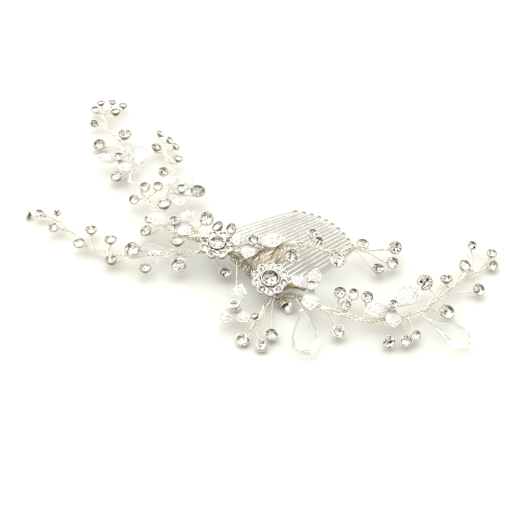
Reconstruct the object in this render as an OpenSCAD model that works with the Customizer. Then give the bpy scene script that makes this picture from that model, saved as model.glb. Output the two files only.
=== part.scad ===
// Bridal hair comb: a wire comb with ten teeth, its bar bound with fine wire, under a long spray of
// twisted stems that carry cup-set round stones, white three-petal flowers, two stone clusters and
// clear faceted drops. It lies on a flat surface with its face up. X runs along the spray, +Y to the
// tips of the teeth and +Z up. The origin is on the surface, under the middle of the whole piece.

/* [Comb] */
// Diameter of the bar's wire
bar_wire = 1.3; // [1.0:0.1:1.5]
// Diameter of the wire that the teeth are bent from
tooth_wire = 0.9; // [0.7:0.1:1.0]
// Number of teeth
tooth_count = 10; // [8:1:10]
// Width of one tooth, from wire centre to wire centre
tooth_width = 1.7; // [1.5:0.1:1.9]
// Height of the bow in a tooth over the straight line from root to tip
tooth_bow = 0.4; // [0.2:0.1:3]
// Height of the bow in the bar over the straight line between its ends
bar_bow = 1.5; // [0.5:0.5:2]
// Width of one band of binding wire along the bar
band_width = 0.8; // [0.6:0.1:0.9]

/* [Stems] */
// Diameter of a main stem, twisted from two strands
stem_wire = 0.9; // [0.8:0.1:1.1]
// Diameter of a side twig
twig_wire = 0.5; // [0.4:0.1:0.6]

/* [Stones] */
// Depth of a cup as a part of its width
cup_depth_part = 0.42; // [0.38:0.01:0.46]
// Wall of a cup
cup_wall = 0.3; // [0.25:0.05:0.35]
// Width from which a round stone is a piece of its own
own_from = 5.2; // [5:0.1:5.4]
// Width of the cup in the middle of a flower
flower_cup = 4.4; // [4:0.1:4.8]

/* [Flowers] */
// Thickness of a petal
petal_thick = 0.7; // [0.6:0.1:1]
// Rise of a petal's middle over its edges
petal_dome = 0.9; // [0.5:0.1:1.2]
// Half of the angle that one petal fills
petal_half_angle = 34; // [28:1:34]
// How far a petal's outline is drawn in beside its tip
petal_point = 0.15; // [0:0.05:0.2]

/* [Drops] */
// Length of a drop
drop_length = 17; // [14:0.5:18]
// Width of a drop
drop_width = 9.2; // [8:0.2:10]
// Thickness of a drop
drop_thick = 6; // [5:0.2:7]

/* [Hidden] */
gap = 0.1;
round_fn = 32;
bar_fn = 256;
wire_sides = 6;
twig_sides = 5;
twig_steps = 5;
curve_steps = 3;

// The bar runs from the ball at its far end to the one at its near end. The teeth fill the first
// part of it.
bar_far = [-17.5, -29.5, 8];
bar_near = [12.2, -62.8, 2];
first_root = 0.07;
last_root = 0.84;
// The tips lie along a shallow arc: its two ends, and how far its middle stands out and up.
first_tip = [17, -5, 0.5];
last_tip = [38.5, -26.5, 0.6];
tip_bulge = 3;
tip_lift = 1.5;

// Stems as they run over the surface. Columns: x, y, height of the wire's centre.
LEFT_STEM = [[-15, -36, 8.8], [-19.5, -38.5, 8.6], [-26, -39, 8], [-34, -38, 6.5],
    [-45, -37, 4.5], [-58, -33.5, 3.5], [-64, -29.5, 3], [-70, -23, 3], [-74.5, -19, 3.5],
    [-79, -14.5, 3.2], [-83, -10.5, 3], [-86, -9, 2.5]];
UPPER_STEM = [[-17.2, -33.6, 9.8], [-22, -33, 9.8], [-27, -30, 9], [-33, -26, 8], [-38.5, -14, 7.5],
    [-41.5, -8.5, 7], [-45, -3, 7], [-48.5, 3.5, 6.5], [-51.5, 10, 5.5], [-54.5, 29, 4.5],
    [-64, 44.5, 5], [-68, 57, 5], [-67.5, 62, 5]];
BRANCH_STEM = [[-37.5, -12.5, 8], [-34.5, 3, 7], [-33.5, 13, 6.5], [-35, 17.5, 6],
    [-36.5, 22, 6], [-38, 28, 5.5], [-38, 32.5, 5]];
RIGHT_TOP_STEM = [[-2.5, -44, 9.5], [1.5, -42, 11], [7, -39.5, 11.5], [13, -38.5, 11.5],
    [21, -38.5, 11], [27, -40.5, 10], [31, -40.5, 9.5], [37, -36.5, 8.5], [42, -37.5, 8],
    [49, -35, 6.5]];
RIGHT_LOW_STEM = [[10.7, -58.5, 5], [18, -62.5, 6.5], [24, -67.5, 6.5], [31, -70, 6], [38.5, -72.5, 5.5],
    [45, -72, 5.5], [53, -69.5, 5], [61, -65.5, 4.5], [68, -58.5, 4.5], [74, -52, 4],
    [80, -46, 3.5], [85, -44, 3.2]];
FRONT_STEM = [[6.6, -59.4, 4.8], [5.5, -62, 4.2], [3, -67, 5], [1, -71, 4.5], [-1.5, -75.5, 4]];
SPINE_PLACES = [0, 0.15, 0.3, 0.45, 0.6, 0.75, 0.9];

// Round stones in cups, by stem. Columns: x, y, height of the rim's middle, width over the cup,
// tilt from upright, direction of the tilt from +X, place on the stem where the twig leaves. A
// place below 0 is one on the spine, counted from -spine_zero.
spine_zero = 10;
LEFT_STONES = [[-91.5, -9, 2, 3.4, 70, 180, 10.8], [-86, -11.4, 4.8, 4, 25, -50, 10.4],
    [-79, -10.5, 4.5, 3.4, 5, 20, 9.2], [-79, -20.2, 5, 4.6, 10, -130, 8.4],
    [-67.5, -30, 5.5, 5, 5, -140, 6.2], [-64, -21.5, 5, 5, 5, 50, 5.9],
    [-55.5, -29, 6.5, 5, 5, 70, 4.8], [-54.5, -38.3, 4.4, 5, 10, 60, 4.2],
    [-46, -38.5, 9.5, 6.4, 25, -90, 3.6], [-41, -43.7, 5, 4.8, 10, 60, 3],
    [-28.5, -43.5, 6.5, 6.4, 30, -90, 2.2], [-11, -46, 4.5, 4.6, 30, -90, 0.35]];
UPPER_STONES = [[-71, 69, 4.5, 3.8, 15, 110, 11.9], [-65.5, 69, 5, 3.6, 15, 40, 11.8],
    [-60.5, 67, 4.5, 4, 10, 90, 11.4], [-73, 63.4, 4.4, 4.4, 15, -90, 11.6],
    [-63, 59, 6.5, 4.8, 15, 100, 10.9], [-72, 52, 4.6, 4.2, 30, -50, 10.4],
    [-57, 41.5, 6.5, 6.2, 5, 0, 9.6], [-68, 37, 4, 5.8, 20, -120, 9.4],
    [-58, 13, 5, 5.6, 20, -160, 8.1], [-44.5, -1, 10, 5, 20, -110, 6.6],
    [-39.5, 1.5, 8.5, 4.6, 20, -90, 5.6], [-49, -4, 6, 4.6, 40, -130, 5.9],
    [-41.5, -18, 7.5, 4.4, 15, -160, 4.2], [-42.5, -24, 6.5, 5.2, 30, -160, 3.3],
    [-35.5, -14.5, 12.5, 5.8, 10, 150, 4.1], [-29, -36, 12, 5.6, 10, 80, 2.1],
    [-18.5, -24.5, 13, 6, 30, -90, 1.8], [-14.5, -26.5, 11, 5.1, 35, 180, -9.9],
    [-9, -31, 13.5, 4.8, 40, -150, -9]];
BRANCH_STONES = [[-41.5, 44.5, 4.5, 4, 40, 20, 5.95], [-37, 38.5, 5, 4, 55, 0, 5.8],
    [-34, 34, 5, 3.8, 50, 10, 5.4], [-42.5, 33, 5.5, 4.8, 25, 20, 5.2],
    [-32.5, 24, 6, 4.2, 20, 30, 3.7], [-38, 12, 8, 4.8, 20, -90, 2.5],
    [-23, -1.1, 8.2, 6.2, 15, -60, 0.7]];
RIGHT_TOP_STONES = [[13.5, -46, 13, 6, 30, -70, 2.4], [22, -31, 11, 4.4, 20, -90, 3.8],
    [24, -35.5, 11, 4.2, 30, -60, 4.1], [31, -44, 9.5, 6.4, 35, -90, 5.4],
    [41, -34, 8.3, 5.2, 15, -70, 6.8], [53.5, -34, 6.5, 5.6, 35, -90, 8.6],
    [52, -41, 5, 5.1, 30, -70, 8.05], [46.5, -43.5, 4.5, 5, 10, -20, 7.05]];
RIGHT_LOW_STONES = [[31, -58.5, 6.5, 5, 15, -90, 2.5], [35.5, -61.5, 8.5, 4.8, 20, -90, 3],
    [40.5, -62, 7.5, 4.8, 25, -90, 3.9], [32.5, -66.5, 8, 4.4, 30, -90, 2.9],
    [29.5, -76, 4, 5.2, 30, -90, 2.3], [47, -80.5, 3.6, 4.8, 35, -90, 5],
    [53, -80, 3.6, 4.4, 30, -90, 5.9], [56.5, -77.5, 4, 4.2, 30, -90, 6.1],
    [62, -55, 8, 6.2, 35, -90, 7.8], [71, -49.5, 5, 4.8, 10, 100, 8.6],
    [79, -43, 5.5, 5.2, 30, -30, 9.8], [83.5, -31, 5, 4, 25, -90, 10.2],
    [90.5, -34.5, 4.2, 4.4, 0, 0, 10.5], [90, -40.4, 3.2, 4.4, 30, -90, 10.8],
    [82.5, -54.5, 4, 5, 30, -50, 8.2], [69, -67, 5, 6, 25, -40, 7.2]];
FRONT_STONES = [[-4, -78.5, 2.7, 5, 30, -90, 3.8], [2.5, -81.5, 2.7, 4.6, 35, -90, 3.4],
    [6, -76.5, 3.2, 5, 15, -90, 0.6], [0, -71.5, 7.5, 3.4, 35, 140, 2.6]];

// White flowers. Columns: x, y, height of the stone's rim, tilt of the petals, direction of that
// tilt, tilt of the stone, the stem, the place on it, then direction and length of each petal.
FLOWERS = [
    ["flower_a", -57.5, 22, 8.5, 8, -90, 15, "upper", 8.7, [[180, 10.5], [-60, 9.5], [65, 8.5]]],
    ["flower_b", -29.5, -3.5, 11.5, 8, -90, 8, "branch", 0.9, [[-95, 9.5], [130, 9.5], [50, 8]]],
    ["flower_c", -31, -25.5, 13, 8, -90, 8, "upper", 2.6, [[165, 11], [35, 9.5], [-45, 9.5]]],
    ["flower_d", -0.5, -40.5, 16.2, 8, -90, 32, "spine", 2.85, [[178, 9], [0, 12], [-108, 9.5]]],
    ["flower_e", -7, -67, 8, 15, -90, 35, "spine", 2.6, [[75, 9.5], [-125, 9], [-55, 8.5]]],
    ["flower_f", 20.5, -59.5, 11, 8, -90, 8, "right_low", 1.2, [[75, 9], [145, 9], [-95, 11]]],
    ["flower_g", 49, -68.5, 10, 10, -90, 20, "right_low", 4.9, [[-164, 10.5], [38, 13.5], [-92, 9.5]]]];

// Stone clusters. Columns: x, y, height of the plate, tilt, its direction, number of ring stones,
// radius of their ring, width of a ring cup, width of the middle cup.
CLUSTERS = [
    ["cluster_far", -14, -39, 11.2, 8, -67.5, 8, 5, 3.6, 6],
    ["cluster_near", 5.7, -54.6, 8.5, 22, -90, 10, 5.2, 3.2, 6.7]];

// Clear faceted drops. Columns: neck x, y, height, direction that the drop points from its neck,
// its fall, its size as a part of the full one, the stem and the place on it.
DROPS = [
    ["drop_left", -30, -33.5, 4.2, 172, 2, 0.85, "left", 2.7],
    ["drop_front", 17, -67, 6, -86, 8, 1.15, "right_low", 0.6],
    ["drop_right", 61.5, -71, 5, -38, 4, 1, "right_low", 6.8],
    ["drop_upper", -49, 20, 4.2, 95, 2, 0.85, "upper", 8.4],
    ["drop_middle", -22, -24, 6, 150, 6, 0.75, "upper", 1.9]];

ARMS = ["left", "upper", "branch", "right_top", "right_low", "front"];

// The tables count y from a line behind the comb, and the whole piece's middle lies off it by this.
middle_y = -7;
module laid() translate([0, -middle_y, 0]) children();

function unit(v) = v / norm(v);
function mix(a, b, part) = a + (b - a) * part;
function arch(part) = 4 * part * (1 - part);
function last(list) = list[len(list) - 1];
function axis_of(tilt, toward) = [sin(tilt) * cos(toward), sin(tilt) * sin(toward), cos(tilt)];

// Points along a smooth curve through a route's own points.
function curve_point(a, b, c, d, t) =
    0.5 * (2 * b + (c - a) * t + (2 * a - 5 * b + 4 * c - d) * t * t
        + (3 * b - a - 3 * c + d) * t * t * t);
function smooth(route) = let (end = len(route) - 1) concat(
    [for (i = [0:end - 1], k = [0:curve_steps - 1])
        curve_point(route[max(i - 1, 0)], route[i], route[i + 1], route[min(i + 2, end)],
            k / curve_steps)],
    [route[end]]);
function along(route, place) =
    let (i = min(floor(place), len(route) - 2)) mix(route[i], route[i + 1], place - i);
function heading(route, place) =
    let (i = min(floor(place), len(route) - 2)) unit(route[i + 1] - route[i]);
function bent(a, b, c) = [for (k = [0:twig_steps])
    let (t = k / twig_steps) (1 - t) * (1 - t) * a + 2 * t * (1 - t) * b + t * t * c];

// A round wire swept along a path, its rings turned as little as possible from one to the next.
function directions(path) = let (end = len(path) - 1)
    [for (i = [0:end]) unit(path[min(i + 1, end)] - path[max(i - 1, 0)])];
function level(v, d) = unit(v - (v * d) * d);
function any_side(d) = level(abs(d[2]) < 0.8 ? [0, 0, 1] : [1, 0, 0], d);
function sides_of(ds) = [for (i = 0, n = any_side(ds[0]); i < len(ds);
    i = i + 1, n = i < len(ds) ? level(n, ds[i]) : n) n];

module wire(path, width, sides) {
    ds = directions(path);
    ns = sides_of(ds);
    end = len(path) - 1;
    points = [for (i = [0:end], k = [0:sides - 1])
        let (a = 360 * k / sides)
        path[i] + width / 2 * (cos(a) * ns[i] + sin(a) * cross(ds[i], ns[i]))];
    walls = [for (i = [0:end - 1], k = [0:sides - 1])
        let (a = i * sides + k, b = i * sides + (k + 1) % sides)
        each [[a, b + sides, b], [a, a + sides, b + sides]]];
    caps = [[for (k = [0:sides - 1]) k], [for (k = [sides - 1:-1:0]) end * sides + k]];
    polyhedron(points, concat(walls, caps));
}

// The bar's frame at a place from 0 to 1: its centre, its direction, its upper side and the side
// that the teeth leave from.
bar_line = bar_near - bar_far;
bar_length = norm(bar_line);
bar_along = unit(bar_line);
bar_up = level([0, 0, 1], bar_along);
bar_side = cross(bar_up, bar_along);
bar_radius = (bar_length * bar_length / 4 + bar_bow * bar_bow) / (2 * bar_bow);
bar_half_angle = asin(bar_length / 2 / bar_radius);
bar_centre = (bar_far + bar_near) / 2 - (bar_radius - bar_bow) * bar_up;
function bar_angle(place) = bar_half_angle * (2 * place - 1);
function bar_up_at(place) =
    cos(bar_angle(place)) * bar_up + sin(bar_angle(place)) * bar_along;
function bar_along_at(place) =
    cos(bar_angle(place)) * bar_along - sin(bar_angle(place)) * bar_up;
function bar_at(place) = bar_centre + bar_radius * bar_up_at(place);
function root_place(i) = mix(first_root, last_root, i / (tooth_count - 1));

// The spine lies on the turns of tooth wire, a little to the front of the bar's upper side.
spine_lean = 25;
spine_lift = bar_wire / 2 + tooth_wire + 2 * gap + stem_wire / 2;
function lash_up(place) = cos(spine_lean) * bar_up_at(place) - sin(spine_lean) * bar_side;
SPINE_STEM = [for (place = SPINE_PLACES) bar_at(place) + spine_lift * lash_up(place)];

// Puts a child that is drawn about +Z onto a frame of three unit vectors at a point.
module placed(at, x, y, z) {
    multmatrix([[x[0], y[0], z[0], at[0]], [x[1], y[1], z[1], at[1]], [x[2], y[2], z[2], at[2]]])
        children();
}
module facing(at, tilt, toward) {
    translate(at) rotate([0, 0, toward]) rotate([0, tilt, 0]) children();
}

// A ball closes each end of the bar, and a bead sits on the near one. Both rows: place, radius.
BALLS = [[bar_far, 1.15], [bar_near, 1.5], [bar_near + [0.8, 0.2, 2], 0.95]];
module comb_bar() color("silver") {
    placed(bar_centre, bar_along, bar_up, cross(bar_along, bar_up))
        rotate([0, 0, 90 - bar_half_angle])
        rotate_extrude(angle = 2 * bar_half_angle, $fn = bar_fn)
        translate([bar_radius, 0]) circle(d = bar_wire, $fn = round_fn);
    for (ball = BALLS) translate(ball[0]) sphere(r = ball[1], $fn = round_fn);
}

// One turn of tooth wire round the bar, ending on top of it. Columns of the result: x, y, z.
wrap_radius = bar_wire / 2 + gap + tooth_wire / 2;
wrap_from = -240;
turn_step = 30;
function wrap(place, offset) = [for (a = [wrap_from:turn_step:0])
    bar_at(place) + offset * bar_along_at(place)
        + wrap_radius * (cos(a) * bar_up_at(place) + sin(a) * bar_side)];

leg_from = 0.12;
leg_step = 0.11;
module tooth(i) {
    part = i / (tooth_count - 1);
    place = root_place(i);
    tip = mix(first_tip, last_tip, part) + arch(part) * (tip_bulge * bar_side + [0, 0, tip_lift]);
    half = tooth_width / 2;
    start = bar_at(place) + wrap_radius * bar_up_at(place);
    out = unit(tip - start);
    across = level(bar_along_at(place), out);
    near_tip = tip - half * out;
    function leg(s) = [for (t = [leg_from:leg_step:1]) mix(start, near_tip, t)
        + s * half * mix(bar_along_at(place), across, t) + tooth_bow * arch(t) * [0, 0, 1]];
    turn = [for (a = [-90:turn_step:90]) near_tip + half * (cos(a) * out + sin(a) * across)];
    back = concat(wrap(place, half), leg(1));
    wire(concat(wrap(place, -half), leg(-1), turn, [for (k = [len(back) - 1:-1:0]) back[k]]),
        tooth_wire, wire_sides);
}

// The end of the tooth wire is coiled round the bar beside the ball.
coil_turns = 3.5;
coil_from = 0.893;
coil_to = 0.962;
coil_reach = 1.62;
module end_coil() {
    steps = coil_turns * 360 / turn_step;
    wire([for (k = [0:steps])
        let (place = mix(coil_from, coil_to, k / steps), a = turn_step * k)
        bar_at(place) + coil_reach * (cos(a) * bar_up_at(place) + sin(a) * bar_side)],
        (coil_to - coil_from) * bar_length / coil_turns - gap, wire_sides);
}

module comb_teeth() color("silver") {
    for (i = [0:tooth_count - 1]) tooth(i);
    end_coil();
}

// Bands of fine wire lash the spine to the bar between the teeth. Each is a plate with a long
// round-ended hole for both.
function capsule(r, rise) = concat(
    [for (a = [0:turn_step:180]) [r * cos(a), rise + r * sin(a)]],
    [for (a = [180:turn_step:360]) [r * cos(a), r * sin(a)]]);
module binding_wire() color("darkgoldenrod") {
    hole = bar_wire / 2 + gap;
    for (i = [0:tooth_count - 2]) {
        place = (root_place(i) + root_place(i + 1)) / 2;
        placed(bar_at(place), cross(lash_up(place), bar_along_at(place)), lash_up(place),
            -bar_along_at(place))
            translate([0, 0, -band_width / 2])
            linear_extrude(band_width) difference() {
                polygon(capsule(hole + tooth_wire / 2, spine_lift));
                polygon(capsule(hole, spine_lift));
            }
    }
}

// A cup and its stone are turned about +Z, with the rim's middle at the origin. The cup is a cone
// under a straight band. The stone is a cone with an upright edge under a crown with a flat top.
base_part = 0.26;
band_part = 0.2;
inner_band_part = 0.15;
stone_foot_part = 0.5;
stone_edge = 2 * gap;
flat_top_part = 0.6;
crown_part = 0.34;
function cup_base(d) = base_part * d;
function cup_depth(d) = cup_depth_part * d;
module cup(d) {
    r = d / 2;
    base = cup_base(d);
    depth = cup_depth(d);
    rotate_extrude($fn = round_fn) polygon([[0, -depth], [base, -depth], [r, -depth * band_part],
        [r, 0], [r - cup_wall, 0], [r - cup_wall, -depth * inner_band_part],
        [base - cup_wall / 2, cup_wall - depth], [0, cup_wall - depth]]);
}
module stone(d) {
    r = d / 2 - cup_wall - gap / 2;
    depth = cup_depth(d) - cup_wall - gap;
    rotate_extrude($fn = round_fn) polygon([[0, -depth], [cup_base(d) * stone_foot_part, -depth],
        [r, gap / 2], [r, gap / 2 + stone_edge], [r * flat_top_part, r * crown_part],
        [0, r * crown_part]]);
}

// A twig leaves the side of its stem and ends just under the thing that it carries.
function stem_of(arm) = arm == "left" ? LEFT_STEM : arm == "upper" ? UPPER_STEM
    : arm == "branch" ? BRANCH_STEM : arm == "right_top" ? RIGHT_TOP_STEM
    : arm == "right_low" ? RIGHT_LOW_STEM : arm == "front" ? FRONT_STEM : SPINE_STEM;
function stones_of(arm) = arm == "left" ? LEFT_STONES : arm == "upper" ? UPPER_STONES
    : arm == "branch" ? BRANCH_STONES : arm == "right_top" ? RIGHT_TOP_STONES
    : arm == "right_low" ? RIGHT_LOW_STONES : arm == "front" ? FRONT_STONES : [];
lowest_wire = twig_wire / 2 + gap;
bend_length = 2;
module twig(arm, place, to, axis) {
    route = smooth(stem_of(arm));
    at = along(route, place * curve_steps);
    run = heading(route, place * curve_steps);
    seat = to - (gap + twig_wire / 2) * axis;
    bend = seat - min(bend_length, norm(seat - at) / 3) * axis;
    low_bend = [bend[0], bend[1], max(bend[2], lowest_wire)];
    start = at + (stem_wire / 2 + gap + twig_wire / 2) * level(low_bend - at, run);
    wire(bent(start, low_bend, seat), twig_wire, twig_sides);
}

function stone_axis(row) = axis_of(row[4], row[5]);
module stone_twig(arm, place, row) twig(arm, place,
    [row[0], row[1], row[2]] - cup_depth(row[3]) * stone_axis(row), stone_axis(row));
module stem(arm) color("khaki") {
    wire(smooth(stem_of(arm)), stem_wire, wire_sides);
    for (row = stones_of(arm)) if (row[6] >= 0) stone_twig(arm, row[6], row);
    if (arm == "spine") for (other = ARMS, row = stones_of(other)) if (row[6] < 0)
        stone_twig(arm, row[6] + spine_zero, row);
    for (row = FLOWERS) if (row[7] == arm) twig(arm, row[8], hub_foot(row), petal_axis(row));
    for (row = DROPS) if (row[7] == arm)
        twig(arm, row[8], [row[1], row[2], row[3]], drop_axis(row));
}
module cups(arm) color("gold") {
    for (row = stones_of(arm)) facing([row[0], row[1], row[2]], row[4], row[5]) cup(row[3]);
}
module small_stones(arm) color("white") {
    for (row = stones_of(arm)) if (row[3] < own_from)
        facing([row[0], row[1], row[2]], row[4], row[5]) stone(row[3]);
}
module own_stone(row) color("white") facing([row[0], row[1], row[2]], row[4], row[5]) stone(row[3]);

// A flower is one sheet: rings round its hub that reach out into three petals. The petals are
// domed across, and lift a little towards their tips.
petal_rings = [0.14, 0.35, 0.6, 0.83, 1];
petal_spread = [-1, -0.93, -0.75, -0.45, -0.15, 0.15, 0.45, 0.75, 0.93, 1];
petal_lift = 0.16;
hub_radius = 1.6;
hub_flat = 2.4;
function flower_at(row) = [row[1], row[2], row[3]];
function petal_axis(row) = axis_of(row[4], row[5]);
function flower_stone_axis(row) = axis_of(row[6], row[5]);
function hub_top(row) = flower_at(row) - cup_depth(flower_cup) * flower_stone_axis(row)
    - (gap + cup_base(flower_cup) * sin(abs(row[6] - row[4]))) * petal_axis(row);
function hub_foot(row) = hub_top(row) - petal_thick * petal_axis(row);
function petal_reach(length, s) = max(hub_radius,
    length * sqrt(1 - pow(abs(s), 3)) * (1 - petal_point * arch(abs(s))));

module flower(row) color("white") {
    rim = [for (petal = row[9], s = petal_spread)
        [petal[0] - row[5] + s * petal_half_angle, petal_reach(petal[1], s), s]];
    sorted = by_angle([for (p = rim) [turned(p[0]), p[1], p[2]]]);
    n = len(sorted);
    top = [for (ring = petal_rings, p = sorted)
        let (reach = p[1] * ring, out = max(0, reach - hub_flat), part = out / (p[1] - hub_flat + 0.01))
        [reach * cos(p[0]), reach * sin(p[0]), petal_lift * out
            + petal_dome * sin(180 * min(1, max(0, part))) * (1 - p[2] * p[2])]];
    rings = len(petal_rings);
    bottom = [for (p = top) p - [0, 0, petal_thick]];
    low = rings * n;
    centres = [[0, 0, 0], [0, 0, -petal_thick]];
    sheet = [for (i = [0:rings - 2], k = [0:n - 1])
        let (a = i * n + k, b = i * n + (k + 1) % n)
        each [[a, b, b + n], [a, b + n, a + n],
            [low + a, low + b + n, low + b], [low + a, low + a + n, low + b + n]]];
    edge = [for (k = [0:n - 1])
        let (a = (rings - 1) * n + k, b = (rings - 1) * n + (k + 1) % n)
        each [[a, b, low + b], [a, low + b, low + a]]];
    hub = [for (k = [0:n - 1])
        each [[2 * low, (k + 1) % n, k], [2 * low + 1, low + k, low + (k + 1) % n]]];
    facing(hub_top(row), row[4], row[5])
        polyhedron(concat(top, bottom, centres), concat(sheet, edge, hub));
}
function turned(a) = a < 0 ? turned(a + 360) : a >= 360 ? turned(a - 360) : a;
function by_angle(list) = len(list) < 2 ? list : let (pivot = list[floor(len(list) / 2)][0])
    concat(by_angle([for (p = list) if (p[0] < pivot) p]), [for (p = list) if (p[0] == pivot) p],
        by_angle([for (p = list) if (p[0] > pivot) p]));

module flower_cups() color("silver") {
    for (row = FLOWERS) facing(flower_at(row), row[6], row[5]) cup(flower_cup);
}
module flower_stones() color("white") {
    for (row = FLOWERS) facing(flower_at(row), row[6], row[5]) stone(flower_cup);
}

// A cluster is one soldered setting: a plate with a ring of cups round a taller one.
plate_thick = 0.8;
ring_cup_height = 1.9;
middle_cup_height = 2.8;
function ring_spot(row, k) = let (a = 360 * k / row[6]) row[7] * [cos(a), sin(a)];
module socket(d, height) {
    translate([0, 0, plate_thick]) cylinder(d = d - 2 * cup_wall, h = height, $fn = round_fn);
}
module cluster_setting(row) color("silver") facing([row[1], row[2], row[3]], row[4], row[5])
    difference() {
        union() {
            cylinder(r = row[7], h = plate_thick, $fn = round_fn);
            cylinder(d = row[9], h = middle_cup_height, $fn = round_fn);
            for (k = [0:row[6] - 1]) translate(ring_spot(row, k))
                cylinder(d = row[8], h = ring_cup_height, $fn = round_fn);
        }
        socket(row[9], middle_cup_height);
        for (k = [0:row[6] - 1]) translate(ring_spot(row, k)) socket(row[8], ring_cup_height);
    }
module socket_stone(d, height) {
    r = d / 2 - cup_wall - gap / 2;
    rise = height - plate_thick - gap;
    top = rise + r * crown_part;
    translate([0, 0, plate_thick + gap]) rotate_extrude($fn = round_fn)
        polygon([[0, 0], [r * stone_foot_part, 0], [r, rise], [r, rise + stone_edge],
            [r * flat_top_part, top], [0, top]]);
}
module cluster_ring(row) color("white") facing([row[1], row[2], row[3]], row[4], row[5])
    for (k = [0:row[6] - 1]) translate(ring_spot(row, k)) socket_stone(row[8], ring_cup_height);
module cluster_middle(row) color("white") facing([row[1], row[2], row[3]], row[4], row[5])
    socket_stone(row[9], middle_cup_height);

// A drop is a flattened pear cut in flat faces. Columns of its table: part of the length from the
// neck, part of the full width.
DROP_RINGS = [[0, 0.1], [0.2, 0.38], [0.45, 0.76], [0.68, 1], [0.85, 0.84], [0.96, 0.5], [1, 0.16]];
drop_sides = 10;
function drop_axis(row) = axis_of(90 + row[5], row[4]);
module drop(row) color("aliceblue") {
    size = row[6];
    count = len(DROP_RINGS);
    points = [for (i = [0:count - 1], k = [0:drop_sides - 1])
        let (ring = DROP_RINGS[i], a = 360 * (k + (i % 2) / 2) / drop_sides)
        [size * drop_length * ring[0], size * drop_width / 2 * ring[1] * cos(a),
            size * drop_thick / 2 * ring[1] * sin(a)]];
    walls = [for (i = [0:count - 2], k = [0:drop_sides - 1])
        let (n = drop_sides, a = i * n + k, b = i * n + (k + 1) % n, up = i % 2)
        each up == 0 ? [[a, a + n, b], [b, a + n, b + n]] : [[a, b + n, b], [a, a + n, b + n]]];
    caps = [[for (k = [0:drop_sides - 1]) k],
        [for (k = [drop_sides - 1:-1:0]) (count - 1) * drop_sides + k]];
    translate([row[1], row[2], row[3]] + gap * drop_axis(row)) rotate([0, 0, row[4]])
        rotate([0, row[5], 0]) polyhedron(points, concat(walls, caps));
}

function own_rows(arm) = [for (row = stones_of(arm)) if (row[3] >= own_from) row];
function own_name(arm, i) = str("stone_", arm, "_", i + 1);

laid() comb_bar();
laid() comb_teeth();
laid() binding_wire();
laid() stem("spine");  // stem_spine
laid() flower_cups();
laid() flower_stones();
for (arm = ARMS) {
    laid() stem(arm);
    laid() cups(arm);
    laid() small_stones(arm);
    for (i = [0:1:len(own_rows(arm)) - 1])
        laid() own_stone(own_rows(arm)[i]);
}
for (row = FLOWERS) laid() flower(row);
for (row = CLUSTERS) {
    laid() cluster_setting(row);
    laid() cluster_ring(row);
    laid() cluster_middle(row);
}
for (row = DROPS) laid() drop(row);
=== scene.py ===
"""Looks of a bridal hair comb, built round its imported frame.

A wire comb lies on a white table with its face up. Its bar is lashed with dark gold wire under a long spray
of twisted gold stems, which carry cup-set round stones, white petal flowers, two stone clusters and clear
faceted drops. Every place and size below is in millimetres, as in the part's own tables, until Net.build
turns it into metres.
"""

import logging
import math
import random
from collections.abc import Iterator, Sequence
from dataclasses import dataclass, replace
from enum import Enum
from typing import NamedTuple

import bpy
import numpy as np
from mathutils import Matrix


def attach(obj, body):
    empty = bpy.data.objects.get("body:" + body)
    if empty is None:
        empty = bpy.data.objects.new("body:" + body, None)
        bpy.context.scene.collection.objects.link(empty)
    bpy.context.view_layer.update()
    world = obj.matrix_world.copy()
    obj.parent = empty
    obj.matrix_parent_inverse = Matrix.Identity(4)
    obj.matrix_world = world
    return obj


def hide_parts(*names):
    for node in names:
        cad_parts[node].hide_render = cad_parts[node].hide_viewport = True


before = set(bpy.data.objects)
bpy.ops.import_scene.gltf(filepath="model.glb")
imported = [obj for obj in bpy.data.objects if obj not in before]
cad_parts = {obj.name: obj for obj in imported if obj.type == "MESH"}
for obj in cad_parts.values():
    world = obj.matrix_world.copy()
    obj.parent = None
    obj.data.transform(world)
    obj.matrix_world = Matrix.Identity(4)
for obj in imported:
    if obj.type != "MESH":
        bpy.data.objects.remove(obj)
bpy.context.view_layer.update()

log = logging.getLogger("hair_comb")

Vec = np.ndarray
Pair = tuple[float, float]
Triple = tuple[float, float, float]
Colour = tuple[float, float, float]
MM = 0.001
TABLE_SHIFT = np.array([0.0, 7.0, 0.0])
GAP = 0.1
UP = np.array([0.0, 0.0, 1.0])
STEEP = 0.8


class Arm(Enum):
    """The runs of stem that make up the spray."""

    LEFT = "left"
    UPPER = "upper"
    BRANCH = "branch"
    RIGHT_TOP = "right_top"
    RIGHT_LOW = "right_low"
    FRONT = "front"
    SPINE = "spine"


class Slot(Enum):
    """The record's material slots."""

    SILVER_WIRE = "silver_wire"
    SILVER_CUP = "silver_cup"
    GOLD_WIRE = "gold_wire"
    GOLD_CUP = "gold_cup"
    BINDING = "binding_gold"
    STONE = "foiled_stone"
    PETAL = "white_petal"
    DROP = "clear_drop"


class StonePlace(NamedTuple):
    """Where a cup-set stone stands: its rim's middle, width, lean and where its twig leaves the stem.

    A place below 0 is one on the spine, counted from -SPINE_ZERO.
    """

    x: float
    y: float
    z: float
    width: float
    tilt: float
    toward: float
    place: float


class FlowerPlace(NamedTuple):
    """Where a flower stands, how it and its stone lean, its stem, and its petals' directions and lengths."""

    name: str
    x: float
    y: float
    z: float
    tilt: float
    toward: float
    stone_tilt: float
    arm: Arm
    place: float
    petals: tuple[Pair, ...]


class ClusterPlace(NamedTuple):
    """Where a stone cluster stands, how it leans, and the sizes of its ring and its cups."""

    name: str
    x: float
    y: float
    z: float
    tilt: float
    toward: float
    count: int
    ring: float
    small: float
    middle: float


class DropPlace(NamedTuple):
    """Where a drop's neck is, which way it points, how it falls, its size and its stem."""

    name: str
    x: float
    y: float
    z: float
    toward: float
    fall: float
    size: float
    arm: Arm
    place: float


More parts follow.
